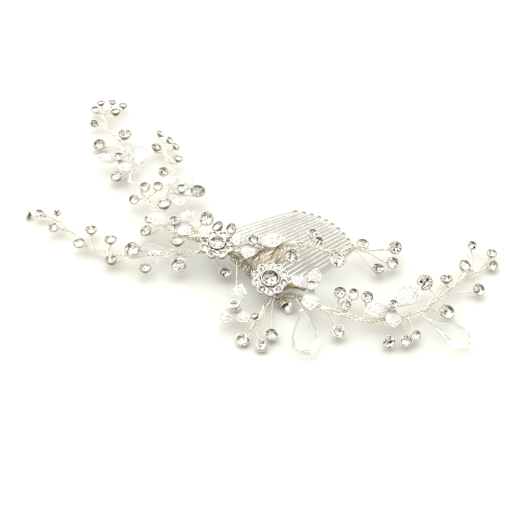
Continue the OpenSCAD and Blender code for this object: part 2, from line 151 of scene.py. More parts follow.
ROUTES = {
    Arm.LEFT: [(-15, -36, 8.8), (-19.5, -38.5, 8.6), (-26, -39, 8), (-34, -38, 6.5), (-45, -37, 4.5),
               (-58, -33.5, 3.5), (-64, -29.5, 3), (-70, -23, 3), (-74.5, -19, 3.5), (-79, -14.5, 3.2),
               (-83, -10.5, 3), (-86, -9, 2.5)],
    Arm.UPPER: [(-17.2, -33.6, 9.8), (-22, -33, 9.8), (-27, -30, 9), (-33, -26, 8), (-38.5, -14, 7.5),
                (-41.5, -8.5, 7), (-45, -3, 7), (-48.5, 3.5, 6.5), (-51.5, 10, 5.5), (-54.5, 29, 4.5),
                (-64, 44.5, 5), (-68, 57, 5), (-67.5, 62, 5)],
    Arm.BRANCH: [(-37.5, -12.5, 8), (-34.5, 3, 7), (-33.5, 13, 6.5), (-35, 17.5, 6), (-36.5, 22, 6),
                 (-38, 28, 5.5), (-38, 32.5, 5)],
    Arm.RIGHT_TOP: [(-2.5, -44, 9.5), (1.5, -42, 11), (7, -39.5, 11.5), (13, -38.5, 11.5), (21, -38.5, 11),
                    (27, -40.5, 10), (31, -40.5, 9.5), (37, -36.5, 8.5), (42, -37.5, 8), (49, -35, 6.5)],
    Arm.RIGHT_LOW: [(10.7, -58.5, 5), (18, -62.5, 6.5), (24, -67.5, 6.5), (31, -70, 6), (38.5, -72.5, 5.5),
                    (45, -72, 5.5), (53, -69.5, 5), (61, -65.5, 4.5), (68, -58.5, 4.5), (74, -52, 4),
                    (80, -46, 3.5), (85, -44, 3.2)],
    Arm.FRONT: [(6.6, -59.4, 4.8), (5.5, -62, 4.2), (3, -67, 5), (1, -71, 4.5), (-1.5, -75.5, 4)],
}
SPINE_PLACES = (0, 0.15, 0.3, 0.45, 0.6, 0.75, 0.9)
SPINE_ZERO = 10

STONES = {
    Arm.LEFT: [(-91.5, -9, 2, 3.4, 70, 180, 10.8), (-86, -11.4, 4.8, 4, 25, -50, 10.4),
        (-79, -10.5, 4.5, 3.4, 5, 20, 9.2), (-79, -20.2, 5, 4.6, 10, -130, 8.4),
        (-67.5, -30, 5.5, 5, 5, -140, 6.2), (-64, -21.5, 5, 5, 5, 50, 5.9),
        (-55.5, -29, 6.5, 5, 5, 70, 4.8), (-54.5, -38.3, 4.4, 5, 10, 60, 4.2),
        (-46, -38.5, 9.5, 6.4, 25, -90, 3.6), (-41, -43.7, 5, 4.8, 10, 60, 3),
        (-28.5, -43.5, 6.5, 6.4, 30, -90, 2.2), (-11, -46, 4.5, 4.6, 30, -90, 0.35)],
    Arm.UPPER: [(-71, 69, 4.5, 3.8, 15, 110, 11.9), (-65.5, 69, 5, 3.6, 15, 40, 11.8),
        (-60.5, 67, 4.5, 4, 10, 90, 11.4), (-73, 63.4, 4.4, 4.4, 15, -90, 11.6),
        (-63, 59, 6.5, 4.8, 15, 100, 10.9), (-72, 52, 4.6, 4.2, 30, -50, 10.4),
        (-57, 41.5, 6.5, 6.2, 5, 0, 9.6), (-68, 37, 4, 5.8, 20, -120, 9.4),
        (-58, 13, 5, 5.6, 20, -160, 8.1), (-44.5, -1, 10, 5, 20, -110, 6.6),
        (-39.5, 1.5, 8.5, 4.6, 20, -90, 5.6), (-49, -4, 6, 4.6, 40, -130, 5.9),
        (-41.5, -18, 7.5, 4.4, 15, -160, 4.2), (-42.5, -24, 6.5, 5.2, 30, -160, 3.3),
        (-35.5, -14.5, 12.5, 5.8, 10, 150, 4.1), (-29, -36, 12, 5.6, 10, 80, 2.1),
        (-18.5, -24.5, 13, 6, 30, -90, 1.8), (-14.5, -26.5, 11, 5.1, 35, 180, -9.9),
        (-9, -31, 13.5, 4.8, 40, -150, -9)],
    Arm.BRANCH: [(-41.5, 44.5, 4.5, 4, 40, 20, 5.95), (-37, 38.5, 5, 4, 55, 0, 5.8),
        (-34, 34, 5, 3.8, 50, 10, 5.4), (-42.5, 33, 5.5, 4.8, 25, 20, 5.2),
        (-32.5, 24, 6, 4.2, 20, 30, 3.7), (-38, 12, 8, 4.8, 20, -90, 2.5),
        (-23, -1.1, 8.2, 6.2, 15, -60, 0.7)],
    Arm.RIGHT_TOP: [(13.5, -46, 13, 6, 30, -70, 2.4), (22, -31, 11, 4.4, 20, -90, 3.8),
        (24, -35.5, 11, 4.2, 30, -60, 4.1), (31, -44, 9.5, 6.4, 35, -90, 5.4),
        (41, -34, 8.3, 5.2, 15, -70, 6.8), (53.5, -34, 6.5, 5.6, 35, -90, 8.6),
        (52, -41, 5, 5.1, 30, -70, 8.05), (46.5, -43.5, 4.5, 5, 10, -20, 7.05)],
    Arm.RIGHT_LOW: [(31, -58.5, 6.5, 5, 15, -90, 2.5), (35.5, -61.5, 8.5, 4.8, 20, -90, 3),
        (40.5, -62, 7.5, 4.8, 25, -90, 3.9), (32.5, -66.5, 8, 4.4, 30, -90, 2.9),
        (29.5, -76, 4, 5.2, 30, -90, 2.3), (47, -80.5, 3.6, 4.8, 35, -90, 5),
        (53, -80, 3.6, 4.4, 30, -90, 5.9), (56.5, -77.5, 4, 4.2, 30, -90, 6.1),
        (62, -55, 8, 6.2, 35, -90, 7.8), (71, -49.5, 5, 4.8, 10, 100, 8.6),
        (79, -43, 5.5, 5.2, 30, -30, 9.8), (83.5, -31, 5, 4, 25, -90, 10.2),
        (90.5, -34.5, 4.2, 4.4, 0, 0, 10.5), (90, -40.4, 3.2, 4.4, 30, -90, 10.8),
        (82.5, -54.5, 4, 5, 30, -50, 8.2), (69, -67, 5, 6, 25, -40, 7.2)],
    Arm.FRONT: [(-4, -78.5, 2.7, 5, 30, -90, 3.8), (2.5, -81.5, 2.7, 4.6, 35, -90, 3.4),
        (6, -76.5, 3.2, 5, 15, -90, 0.6), (0, -71.5, 7.5, 3.4, 35, 140, 2.6)],
}

FLOWERS = (
    FlowerPlace("a", -57.5, 22, 8.5, 8, -90, 15, Arm.UPPER, 8.7, ((180, 10.5), (-60, 9.5), (65, 8.5))),
    FlowerPlace("b", -29.5, -3.5, 11.5, 8, -90, 8, Arm.BRANCH, 0.9, ((-95, 9.5), (130, 9.5), (50, 8))),
    FlowerPlace("c", -31, -25.5, 13, 8, -90, 8, Arm.UPPER, 2.6, ((165, 11), (35, 9.5), (-45, 9.5))),
    FlowerPlace("d", -0.5, -40.5, 16.2, 8, -90, 32, Arm.SPINE, 2.85, ((178, 9), (0, 12), (-108, 9.5))),
    FlowerPlace("e", -7, -67, 8, 15, -90, 35, Arm.SPINE, 2.6, ((75, 9.5), (-125, 9), (-55, 8.5))),
    FlowerPlace("f", 20.5, -59.5, 11, 8, -90, 8, Arm.RIGHT_LOW, 1.2, ((75, 9), (145, 9), (-95, 11))),
    FlowerPlace("g", 49, -68.5, 10, 10, -90, 20, Arm.RIGHT_LOW, 4.9, ((-164, 10.5), (38, 13.5), (-92, 9.5))),
)
CLUSTERS = (
    ClusterPlace("far", -14, -39, 11.2, 8, -67.5, 8, 5, 3.6, 6),
    ClusterPlace("near", 5.7, -54.6, 8.5, 22, -90, 10, 5.2, 3.2, 6.7),
)
DROPS = (
    DropPlace("left", -30, -33.5, 4.2, 172, 2, 0.85, Arm.LEFT, 2.7),
    DropPlace("front", 17, -67, 6, -86, 8, 1.15, Arm.RIGHT_LOW, 0.6),
    DropPlace("right", 61.5, -71, 5, -38, 4, 1, Arm.RIGHT_LOW, 6.8),
    DropPlace("upper", -49, 20, 4.2, 95, 2, 0.85, Arm.UPPER, 8.4),
    DropPlace("middle", -22, -24, 6, 150, 6, 0.75, Arm.UPPER, 1.9),
)


# Places and curves.


def unit(v: Vec) -> Vec:
    """Returns a vector's direction."""
    return v / np.linalg.norm(v)


def leaning(tilt: float, toward: float) -> Vec:
    """Returns the direction that leans by tilt degrees from upright towards an angle from +X."""
    t, w = math.radians(tilt), math.radians(toward)
    return np.array([math.sin(t) * math.cos(w), math.sin(t) * math.sin(w), math.cos(t)])


def level(v: Vec, d: Vec) -> Vec:
    """Returns the direction of the part of v that lies across d."""
    return unit(v - (v @ d) * d)


def any_side(d: Vec) -> Vec:
    """Returns some direction across d."""
    return level(UP if abs(d[2]) < STEEP else vec([1, 0, 0]), d)


def vec(points: Sequence) -> Vec:
    """Returns a point, or a list of points, as an array."""
    return np.array(points, float)


def spot(row: NamedTuple) -> Vec:
    """Returns the point of a row that has x, y and z."""
    return vec([row.x, row.y, row.z])


def around(count: int, turn: float = 0.0) -> Vec:
    """Returns so many even angles round a circle, turned on by a part of their step."""
    return 2 * math.pi * (np.arange(count) + turn) / count


def ball(radius: float, rows: int) -> list[Pair]:
    """Returns the profile of a ball: the radius and height of each of its rows, from the lowest point up."""
    return [(radius * math.sin(a), -radius * math.cos(a)) for a in np.linspace(0, math.pi, rows)]


@dataclass(frozen=True)
class Placing:
    """A point with three directions at right angles to each other."""

    at: Vec
    x: Vec
    y: Vec
    z: Vec

    @staticmethod
    def facing(at: Vec, tilt: float, toward: float) -> "Placing":
        """Makes the placing of a thing that leans by tilt towards an angle.

        Args:
            at: The thing's own origin.
            tilt: Degrees from upright.
            toward: Degrees from +X.

        Returns:
            The placing, with its z along the thing's axis.
        """
        z = leaning(tilt, toward)
        w = math.radians(toward)
        y = np.array([-math.sin(w), math.cos(w), 0.0])
        return Placing(at, np.cross(y, z), y, z)

    def move(self, points: Vec) -> Vec:
        """Returns a point or points of the thing's own frame as points over the table."""
        return self.at + points @ np.stack([self.x, self.y, self.z])

    def shifted(self, point: Vec) -> "Placing":
        """Returns the same placing with its origin at a point of the thing's own frame."""
        return replace(self, at=self.move(point))


def spline_at(route: Vec, place: float) -> Vec:
    """Finds a point on the smooth curve through a route.

    Args:
        route: The route's points, one to a row.
        place: The point's number, with a fraction between two points.

    Returns:
        The point.
    """
    last = len(route) - 1
    i = min(int(place), last - 1)
    t = place - i
    a, b, c, d = (route[min(max(k, 0), last)] for k in range(i - 1, i + 3))
    return 0.5 * (2 * b + (c - a) * t + (2 * a - 5 * b + 4 * c - d) * t * t + (3 * b - a - 3 * c + d) * t**3)


def spline(route: Vec, steps: int) -> Vec:
    """Returns the smooth curve through a route, in so many steps from each point to the next."""
    return np.array([spline_at(route, k / steps) for k in range((len(route) - 1) * steps + 1)])


def lengths(path: Vec) -> Vec:
    """Returns how far along a path each of its points is."""
    return np.concatenate([[0.0], np.cumsum(np.linalg.norm(np.diff(path, axis=0), axis=1))])


def even(path: Vec, step: float) -> Vec:
    """Spaces the points of a path evenly.

    Args:
        path: The path's points.
        step: About how far apart they come.

    Returns:
        The new points.
    """
    run = lengths(path)
    at = np.linspace(0, run[-1], max(2, round(run[-1] / step) + 1))
    return np.stack([np.interp(at, run, path[:, k]) for k in range(3)], axis=1)


def bezier(points: Sequence[Vec], count: int) -> Vec:
    """Returns a curve drawn by three or four control points.

    Args:
        points: The control points.
        count: The number of points on the curve.

    Returns:
        The curve, one point to a row.
    """
    n = len(points) - 1
    t = np.linspace(0, 1, count)[:, None]
    return sum(math.comb(n, k) * (1 - t) ** (n - k) * t**k * p for k, p in enumerate(points))


def headings(path: Vec) -> Vec:
    """Returns the direction of a path at each of its points."""
    d = np.gradient(path, axis=0)
    return d / np.linalg.norm(d, axis=1, keepdims=True)


def frames(path: Vec) -> tuple[Vec, Vec, Vec]:
    """Carries a side direction along a path with as little turning as possible.

    Args:
        path: The path's points.

    Returns:
        The headings, the sides and the third directions, one to a row.
    """
    ds = headings(path)
    side = any_side(ds[0])
    rows = []
    for d in ds:
        side = level(side, d)
        rows.append(side)
    ns = np.array(rows)
    return ds, ns, np.cross(ds, ns)


class Net:
    """The corners and faces of one piece, in table millimetres.

    END_ROUND is how far a wire's end bulges, and LIT how thick the outer part of a bundle's wires is that
    stays unshaded, both as parts of the wire's radius.
    """

    END_ROUND = 0.6
    LIT = 0.7

    def __init__(self) -> None:
        """Starts an empty net."""
        self.points: list[Vec] = []
        self.tones: list[Vec] = []
        self.faces: list[tuple[int, ...]] = []
        self.coats: list[int] = []
        self.smooth: list[bool] = []
        self.count = 0

    def add(self, points: Vec, faces: list[tuple[int, ...]], coat: "int | list[int]" = 0, smooth: bool = True,
            tone: "Vec | float" = 0.0) -> None:
        """Adds a shape.

        Args:
            points: Its corners.
            faces: The corners of each face, counted within the shape and anticlockwise from outside.
            coat: The number of its finish, one value or one to a face.
            smooth: Whether its faces flow into each other.
            tone: How shaded its finish is at each corner, from 0 to 1.
        """
        base = self.count
        self.points.append(points)
        self.tones.append(np.broadcast_to(np.asarray(tone, float), (len(points),)))
        self.faces += [tuple(i + base for i in face) for face in faces]
        self.coats += [coat] * len(faces) if isinstance(coat, int) else coat
        self.smooth += [smooth] * len(faces)
        self.count += len(points)

    def rings(self, grid: Vec, coat: int, tone: "Vec | float",
              ends: tuple["Vec | None", "Vec | None"]) -> None:
        """Joins rings of points into a smooth skin, and closes each end in one point where one is given.

        Args:
            grid: The rings, each with the same number of points.
            coat: The number of the finish.
            tone: How shaded the finish is, one value, one to a ring or one to a point.
            ends: The points that close the first and the last ring.
        """
        m, n = grid.shape[:2]
        tone = np.asarray(tone, float)
        tones = np.broadcast_to(tone[:, None] if tone.ndim == 1 else tone, (m, n)).reshape(-1)
        k = np.arange(n)
        after = (k + 1) % n
        faces: list[tuple[int, ...]] = []
        for i in range(m - 1):
            a, b = i * n + k, i * n + after
            faces += list(zip(*(x.tolist() for x in (a, b, b + n, a + n))))
        points = [grid.reshape(-1, 3)]
        for point, ring in zip(ends, (0, m - 1)):
            if point is None:
                continue
            tip = m * n + len(points) - 1
            points.append(point[None, :])
            a, b = (ring * n + k).tolist(), (ring * n + after).tolist()
            faces += [(tip, q, p) if ring == 0 else (tip, p, q) for p, q in zip(a, b)]
            tones = np.append(tones, tones[ring * n])
        self.add(np.concatenate(points), faces, coat, tone=tones)

    def wire(self, path: Vec, radius: "float | Vec", sides: int, coat: int = 0, tone: "Vec | float" = 0.0,
             core: "Vec | None" = None) -> None:
        """Sweeps a round wire along a path and rounds its two ends.

        Args:
            path: The wire's middle line.
            radius: Its radius, one value or one to a point.
            sides: The number of points round it.
            coat: The number of the finish.
            tone: How shaded the finish is, one value or one to a point.
            core: The middle line of a bundle that the wire is part of, whose inside is shaded.
        """
        ds, ns, bs = frames(path)
        turn = around(sides)[None, :, None]
        r = np.broadcast_to(np.asarray(radius, float), (len(path),))[:, None, None]
        grid = path[:, None] + r * (np.cos(turn) * ns[:, None] + np.sin(turn) * bs[:, None])
        if core is not None:
            away = np.linalg.norm(grid - core[:, None], axis=2)
            tone = np.clip((away.max() - away) / r[:, :, 0] - self.LIT, 0, 1)
        ends = (path[0] - self.END_ROUND * r[0, 0] * ds[0], path[-1] + self.END_ROUND * r[-1, 0] * ds[-1])
        self.rings(grid, coat, tone, ends)

    def turned(self, profile: Sequence[Pair], steps: int, placing: Placing,
               tone: "Vec | float" = 0.0) -> None:
        """Turns a profile about the placing's own z.

        Args:
            profile: Radius and height of each point, up the outside. The first and last are on the axis.
            steps: The number of points round it.
            placing: Where it stands.
            tone: How shaded the finish is, one value or one to each point between the first and the last.
        """
        turn = around(steps)
        circle = np.stack([np.cos(turn), np.sin(turn), np.zeros(steps)], axis=1)
        grid = np.array([placing.move(r * circle + [0, 0, z]) for r, z in profile[1:-1]])
        ends = tuple(placing.move(vec([0, 0, z])) for _, z in (profile[0], profile[-1]))
        self.rings(grid, 0, tone, ends)

    def build(self, name: str, finishes: "Sequence[Finish]", slot: Slot,
              stands_for: Sequence[str] = ()) -> None:
        """Makes the Blender object, dresses it and ties it to the frame.

        Args:
            name: The piece's name.
            finishes: The finish of each coat.
            slot: The record's slot for the piece's finish. Not used.
            stands_for: The nodes that it replaces.
        """
        mesh = bpy.data.meshes.new(name)
        mesh.from_pydata((np.concatenate(self.points) + TABLE_SHIFT) * MM, [], self.faces)
        mesh.polygons.foreach_set("material_index", self.coats)
        mesh.polygons.foreach_set("use_smooth", self.smooth)
        tone = mesh.attributes.new("tone", "FLOAT", "POINT")
        tone.data.foreach_set("value", np.concatenate(self.tones).astype(np.float32))
        for finish in finishes:
            mesh.materials.append(finish.material())
        mesh.validate()
        piece = bpy.data.objects.new(name, mesh)
        bpy.context.scene.collection.objects.link(piece)
        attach(piece, "root")
        if stands_for:
            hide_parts(*stands_for)
        log.info("%s: %d faces, stands for %s", name, len(mesh.polygons), ", ".join(stands_for) or "nothing")


# Finishes.


class Sock:
    """A shader socket that takes Python's operators, each of which adds a Math node."""

    def __init__(self, shade: "Shade", socket: bpy.types.NodeSocket) -> None:
        """Wraps a socket of a shade's tree."""
        self.shade = shade
        self.socket = socket

    def _math(self, operation: str, *values: "Sock | float") -> "Sock":
        """Returns the result of a Math node on values in order."""
        return self.shade.node("ShaderNodeMath", {"operation": operation}, dict(enumerate(values)))

    def __add__(self, other: "Sock | float") -> "Sock":
        """Returns self + other."""
        return self._math("ADD", self, other)

    def __radd__(self, other: float) -> "Sock":
        """Returns other + self."""
        return self._math("ADD", other, self)

    def __sub__(self, other: "Sock | float") -> "Sock":
        """Returns self - other."""
        return self._math("SUBTRACT", self, other)

    def __rsub__(self, other: float) -> "Sock":
        """Returns other - self."""
        return self._math("SUBTRACT", other, self)

    def __mul__(self, other: "Sock | float") -> "Sock":
        """Returns self * other."""
        return self._math("MULTIPLY", self, other)

    def __rmul__(self, other: float) -> "Sock":
        """Returns other * self."""
        return self._math("MULTIPLY", other, self)

    def __gt__(self, other: "Sock | float") -> "Sock":
        """Returns 1 where self is greater than other, and 0 elsewhere."""
        return self._math("GREATER_THAN", self, other)

    def ramp(self, low: float, high: float) -> "Sock":
        """Returns a smooth rise from 0 at low to 1 at high."""
        ends = {0: self, 1: low, 2: high}
        return self.shade.node("ShaderNodeMapRange", {"interpolation_type": "SMOOTHSTEP"}, ends)


class Shade:
    """A node tree under construction."""

    def __init__(self, tree: bpy.types.NodeTree) -> None:
        """Empties a tree and takes it over."""
        self.tree = tree
        tree.nodes.clear()

    def node(self, kind: str, settings: "dict | None" = None, inputs: "dict | None" = None,
             output: "int | str" = 0) -> Sock:
        """Adds any node. A colour gets its fourth value, which is always 1, here.

        Args:
            kind: The node's type.
            settings: Its settings, set first, such as an operation.
            inputs: Values or links of its sockets, by name or number.
            output: The output to return, by name or number.

        Returns:
            That output.
        """
        node = self.tree.nodes.new(kind)
        for key, value in (settings or {}).items():
            setattr(node, key, value)
        for key, value in (inputs or {}).items():
            socket = node.inputs[key]
            if isinstance(value, Sock):
                self.tree.links.new(value.socket, socket)
            else:
                socket.default_value = (*value, 1.0) if socket.type == "RGBA" else value
        return Sock(self, node.outputs[output]) if node.outputs else None

    def where(self) -> Sock:
        """Returns the place on the piece, in metres."""
        return self.node("ShaderNodeTexCoord", output="Object")

    def noise(self, cell: float, detail: float = 2.0) -> Sock:
        """Returns a soft noise whose clouds are about so many millimetres wide."""
        inputs = {"Vector": self.where(), "Scale": 1 / (cell * MM), "Detail": detail}
        return self.node("ShaderNodeTexNoise", None, inputs)

    def cells(self, cell: float, output: str) -> Sock:
        """Returns an output of a cell pattern whose cells are about so many millimetres wide."""
        inputs = {"Vector": self.where(), "Scale": 1 / (cell * MM)}
        return self.node("ShaderNodeTexVoronoi", None, inputs, output)

    def picks(self, cell: float, count: int) -> list[Sock]:
        """Returns up to three random values of each cell of such a pattern."""
        inputs = {0: self.cells(cell, "Color")}
        return [self.node("ShaderNodeSeparateColor", None, inputs, k) for k in range(count)]

    def tone(self) -> Sock:
        """Returns how shaded the piece is at each corner."""
        return self.node("ShaderNodeAttribute", {"attribute_name": "tone"}, output="Fac")

    def mix(self, factor: "Sock | float", a: "Sock | Colour", b: "Sock | Colour") -> Sock:
        """Returns a mix of two colours, all a where the factor is 0."""
        return self.node("ShaderNodeMix", {"data_type": "RGBA"}, {0: factor, 6: a, 7: b}, 2)

    def bump(self, height: Sock, depth: float) -> Sock:
        """Returns the normal of a surface with a relief so many millimetres deep."""
        return self.node("ShaderNodeBump", None, {"Height": height, "Distance": depth * MM})

    def surface(self, **values: "Sock | float | Colour") -> None:
        """Ends a material in a Principled shader, with each value by its socket's name with _ for a space."""
        inputs = {key.replace("_", " "): value for key, value in values.items()}
        shader = self.node("ShaderNodeBsdfPrincipled", None, inputs)
        self.node("ShaderNodeOutputMaterial", None, {"Surface": shader})


@dataclass(frozen=True)
class Finish:
    """A finish of the object, made once as a material of the same name."""

    name: str

    def material(self) -> bpy.types.Material:
        """Returns the finish's material, and paints it the first time."""
        found = bpy.data.materials.get(self.name)
        if found is None:
            found = bpy.data.materials.new(self.name)
            found.use_nodes = True
            self.paint(Shade(found.node_tree))
        return found

    def paint(self, shade: Shade) -> None:
        """Builds the finish's nodes in a tree."""
        raise NotImplementedError


@dataclass(frozen=True)
class PlatedMetal(Finish):
    """Plated wire or sheet: bright, a little uneven, and darkened with painted shade where tone marks it."""

    bright: Colour
    dull: Colour
    # The third colour is painted shade, mixed in by the tone attribute.
    painted_shade: Colour
    roughness: float = 0.16
    spread: float = 0.14
    patch: float = 2.5
    patch_ends: Pair = (0.35, 0.7)
    grain: float = 0.25
    relief: float = 0.01

    def paint(self, shade: Shade) -> None:
        """Mixes bright and dull patches, then the painted shade colour by tone, over a finely grained
        surface.

        Args:
            shade: The tree to build them in.
        """
        grain = shade.noise(self.grain)
        worn = shade.mix(shade.noise(self.patch).ramp(*self.patch_ends), self.bright, self.dull)
        shade.surface(Base_Color=shade.mix(shade.tone(), worn, self.painted_shade), Metallic=1.0,
                      Roughness=grain * self.spread + self.roughness, Normal=shade.bump(grain, self.relief))


@dataclass(frozen=True)
class GlitterEnamel(Finish):
    """White enamel with fine glitter: uneven white grains, and grey flakes in drifts and along the edges."""

    white: Colour = (0.72, 0.715, 0.685)
    grain: Colour = (0.58, 0.58, 0.56)
    grain_ends: Pair = (0.35, 1.0)
    flake: Colour = (0.16, 0.16, 0.15)
    cell: float = 0.55
    core_ends: Pair = (0.25, 0.5)
    share: float = 0.2
    edge_share: float = 0.4
    drift: float = 3.0
    drift_ends: Pair = (0.42, 0.56)
    metal: float = 0.6
    roughness: float = 0.42
    gloss: float = 0.25
    relief: float = 0.4

    def paint(self, shade: Shade) -> None:
        """Gives each cell its own white and a relief, and picks a share as flakes, more of them by tone.

        Args:
            shade: The tree to build them in.
        """
        pick, own = shade.picks(self.cell, 2)
        edge = shade.tone()
        drift = shade.noise(self.drift).ramp(*self.drift_ends)
        from_core = shade.cells(self.cell, "Distance")
        core = 1 - from_core.ramp(*self.core_ends)
        flake = (pick > 1 - self.share - edge * self.edge_share) * core * (drift + edge - drift * edge)
        grains = shade.mix(own.ramp(*self.grain_ends), self.white, self.grain)
        shade.surface(Base_Color=shade.mix(flake, grains, self.flake), Metallic=flake * self.metal,
                      Roughness=self.roughness - self.gloss * flake,
                      Normal=shade.bump(from_core, self.relief))


@dataclass(frozen=True)
class CutGlass(Finish):
    """Clear cut glass with faint smears on its facets."""

    tint: Colour = (0.99, 0.985, 0.97)
    alpha: float = 1.0
    bend: float = 1.55
    smear: float = 0.01
    smear_cell: float = 1.5
    smear_ends: Pair = (0.4, 0.8)

    def paint(self, shade: Shade) -> None:
        """Makes clear glass whose gloss varies a little.

        Args:
            shade: The tree to build them in.
        """
        smears = shade.noise(self.smear_cell).ramp(*self.smear_ends)
        shade.surface(Base_Color=self.tint, Transmission_Weight=1.0, IOR=self.bend, Alpha=self.alpha,
                      Roughness=smears * self.smear)


@dataclass(frozen=True)
class Foil(Finish):
    """The mirror foil behind a stone, whose small faces carry painted reflections in greys and near black,
    and a warm tint on some.
    """

    silver: Colour = (0.97, 0.965, 0.95)
    warm: Colour = (0.9, 0.87, 0.75)
    warm_ends: Pair = (0.65, 0.95)
    grey: Colour = (0.78, 0.775, 0.75)
    grey_ends: Pair = (0.25, 1.0)
    dark: Colour = (0.06, 0.058, 0.055)
    dark_ends: Pair = (0.83, 0.88)
    cell: float = 0.65
    roughness: float = 0.02
    dark_roughness: float = 0.05

    def paint(self, shade: Shade) -> None:
        """Makes a bright mirror of small faces, some warm, with painted reflections in several greys and a
        few dark ones.

        Args:
            shade: The tree to build them in.
        """
        pick, own, other = shade.picks(self.cell, 3)
        bright = shade.mix(other.ramp(*self.warm_ends), self.silver, self.warm)
        mirror = shade.mix(pick.ramp(*self.grey_ends), bright, self.grey)
        # The near-black faces are painted dark reflections.
        dark = own.ramp(*self.dark_ends)
        shade.surface(Base_Color=shade.mix(dark, mirror, self.dark), Metallic=1.0,
                      Roughness=dark * self.dark_roughness + self.roughness)


@dataclass(frozen=True)
class TablePaper(Finish):
    """The white table under the comb."""

    white: Colour = (0.675, 0.675, 0.635)
    fibre: Colour = (0.665, 0.665, 0.625)
    fibre_cell: float = 1.2
    fibre_detail: float = 4.0
    roughness: float = 0.95
    shine: float = 0.1

    def paint(self, shade: Shade) -> None:
        """Makes a matt white with faint fibres.

        Args:
            shade: The tree to build them in.
        """
        fibres = shade.noise(self.fibre_cell, self.fibre_detail)
        shade.surface(Base_Color=shade.mix(fibres, self.white, self.fibre), Roughness=self.roughness,
                      Specular_IOR_Level=self.shine)


# The third colour of each plated finish is its painted shade.
SILVER_WIRE = PlatedMetal("silver wire", (0.92, 0.91, 0.88), (0.78, 0.77, 0.74), (0.16, 0.14, 0.1),
                          roughness=0.14, spread=0.08)
SILVER_CUP = PlatedMetal("silver cup", (0.95, 0.93, 0.88), (0.85, 0.82, 0.75), (0.6, 0.57, 0.5),
                         roughness=0.1, spread=0.08)
GOLD_WIRE = PlatedMetal("pale gold wire", (0.98, 0.955, 0.87), (0.84, 0.8, 0.67), (0.2, 0.16, 0.09),
                        roughness=0.2, spread=0.1)
GOLD_CUP = PlatedMetal("pale gold cup", (0.95, 0.91, 0.8), (0.84, 0.78, 0.62), (0.2, 0.16, 0.09),
                       roughness=0.12, spread=0.1)
BINDING = PlatedMetal("dark gold binding", (0.52, 0.43, 0.25), (0.14, 0.1, 0.045), (0.1, 0.07, 0.04),
                      roughness=0.22)
TIE = PlatedMetal("tie gold", (0.8, 0.7, 0.5), (0.5, 0.4, 0.22), (0.12, 0.09, 0.05), roughness=0.2)
# The setting's dark colour is painted shade, mixed in by tone.
SETTING = PlatedMetal("silver setting with painted shade", (0.96, 0.945, 0.89), (0.82, 0.79, 0.7), (0.3, 0.25, 0.16),
                      roughness=0.14, spread=0.1)
COIL = PlatedMetal("coil gold", (0.82, 0.75, 0.62), (0.52, 0.45, 0.33), (0.03, 0.02, 0.01), roughness=0.16)
ENAMEL = GlitterEnamel("glitter enamel")
STONE_GLASS = CutGlass("stone glass")
DROP_GLASS = CutGlass("drop glass", (0.98, 0.985, 0.97), alpha=0.65, bend=1.45)
DROP_SHADE = CutGlass("drop glass in shade", (0.92, 0.93, 0.9), alpha=0.7, bend=1.5)
FOIL = Foil("stone foil")
PAPER = TablePaper("table paper")


# Cups and stones.


@dataclass(frozen=True)
class Brilliant:
    """A round stone cut with a table, stars, kites and girdle facets over a foiled cone of the same folds."""

    folds: int = 8
    table: float = 0.58
    star: float = 0.8
    star_rise: float = 0.5
    crown: float = 0.34
    edge_low: float = 0.05
    edge_high: float = 0.25
    heel: float = 0.32
    heel_depth: float = 0.72
    spin: Pair = (37, 23)

    def cut(self, net: Net, radius: float, depth: float, placing: Placing, rise: float = 0.0) -> None:
        """Adds the stone, its upper side in coat 0 and its foiled cone in coat 1.

        Args:
            net: The net that it goes into.
            radius: Its radius.
            depth: The depth of its cone under the girdle.
            placing: Where its seat is.
            rise: The height of its girdle over the seat.
        """
        n = self.folds
        top = self.crown * radius
        spin = math.radians(placing.at[:2] @ np.array(self.spin))

        def ring(r: float, z: float, count: int, turn: float) -> Vec:
            """Returns points round the axis."""
            a = around(count, turn) + spin
            return np.stack([r * np.cos(a), r * np.sin(a), np.full(count, z)], axis=1)

        star_z = self.edge_high + self.star_rise * (top - self.edge_high)
        rows = [ring(self.table * radius, top, n, 0), ring(self.star * radius, star_z, n, 0.5),
                ring(radius, self.edge_high, 2 * n, 0), ring(radius, self.edge_low, 2 * n, 0),
                ring(self.heel * radius, -self.heel_depth * depth, n, 0.5), vec([[0, 0, -depth]])]
        points = placing.move(np.concatenate(rows) + [0, 0, rise])
        t, s, g, w, h, tip = 0, n, 2 * n, 4 * n, 6 * n, 7 * n
        clear: list[tuple[int, ...]] = [tuple(range(n))]
        foiled: list[tuple[int, ...]] = []
        for k in range(n):
            on, back, a, b, c = (k + 1) % n, (k - 1) % n, 2 * k, 2 * k + 1, (2 * k + 2) % (2 * n)
            clear += [(t + k, s + k, t + on), (t + k, s + back, g + a, s + k), (s + k, g + a, g + b),
                      (s + k, g + b, g + c), (w + a, w + b, g + b, g + a), (w + b, w + c, g + c, g + b)]
            foiled += [(h + k, w + b, w + a), (h + k, w + c, w + b), (tip, h + k, w + a, h + back)]
        net.add(points, clear + foiled, [0] * len(clear) + [1] * len(foiled), smooth=False)


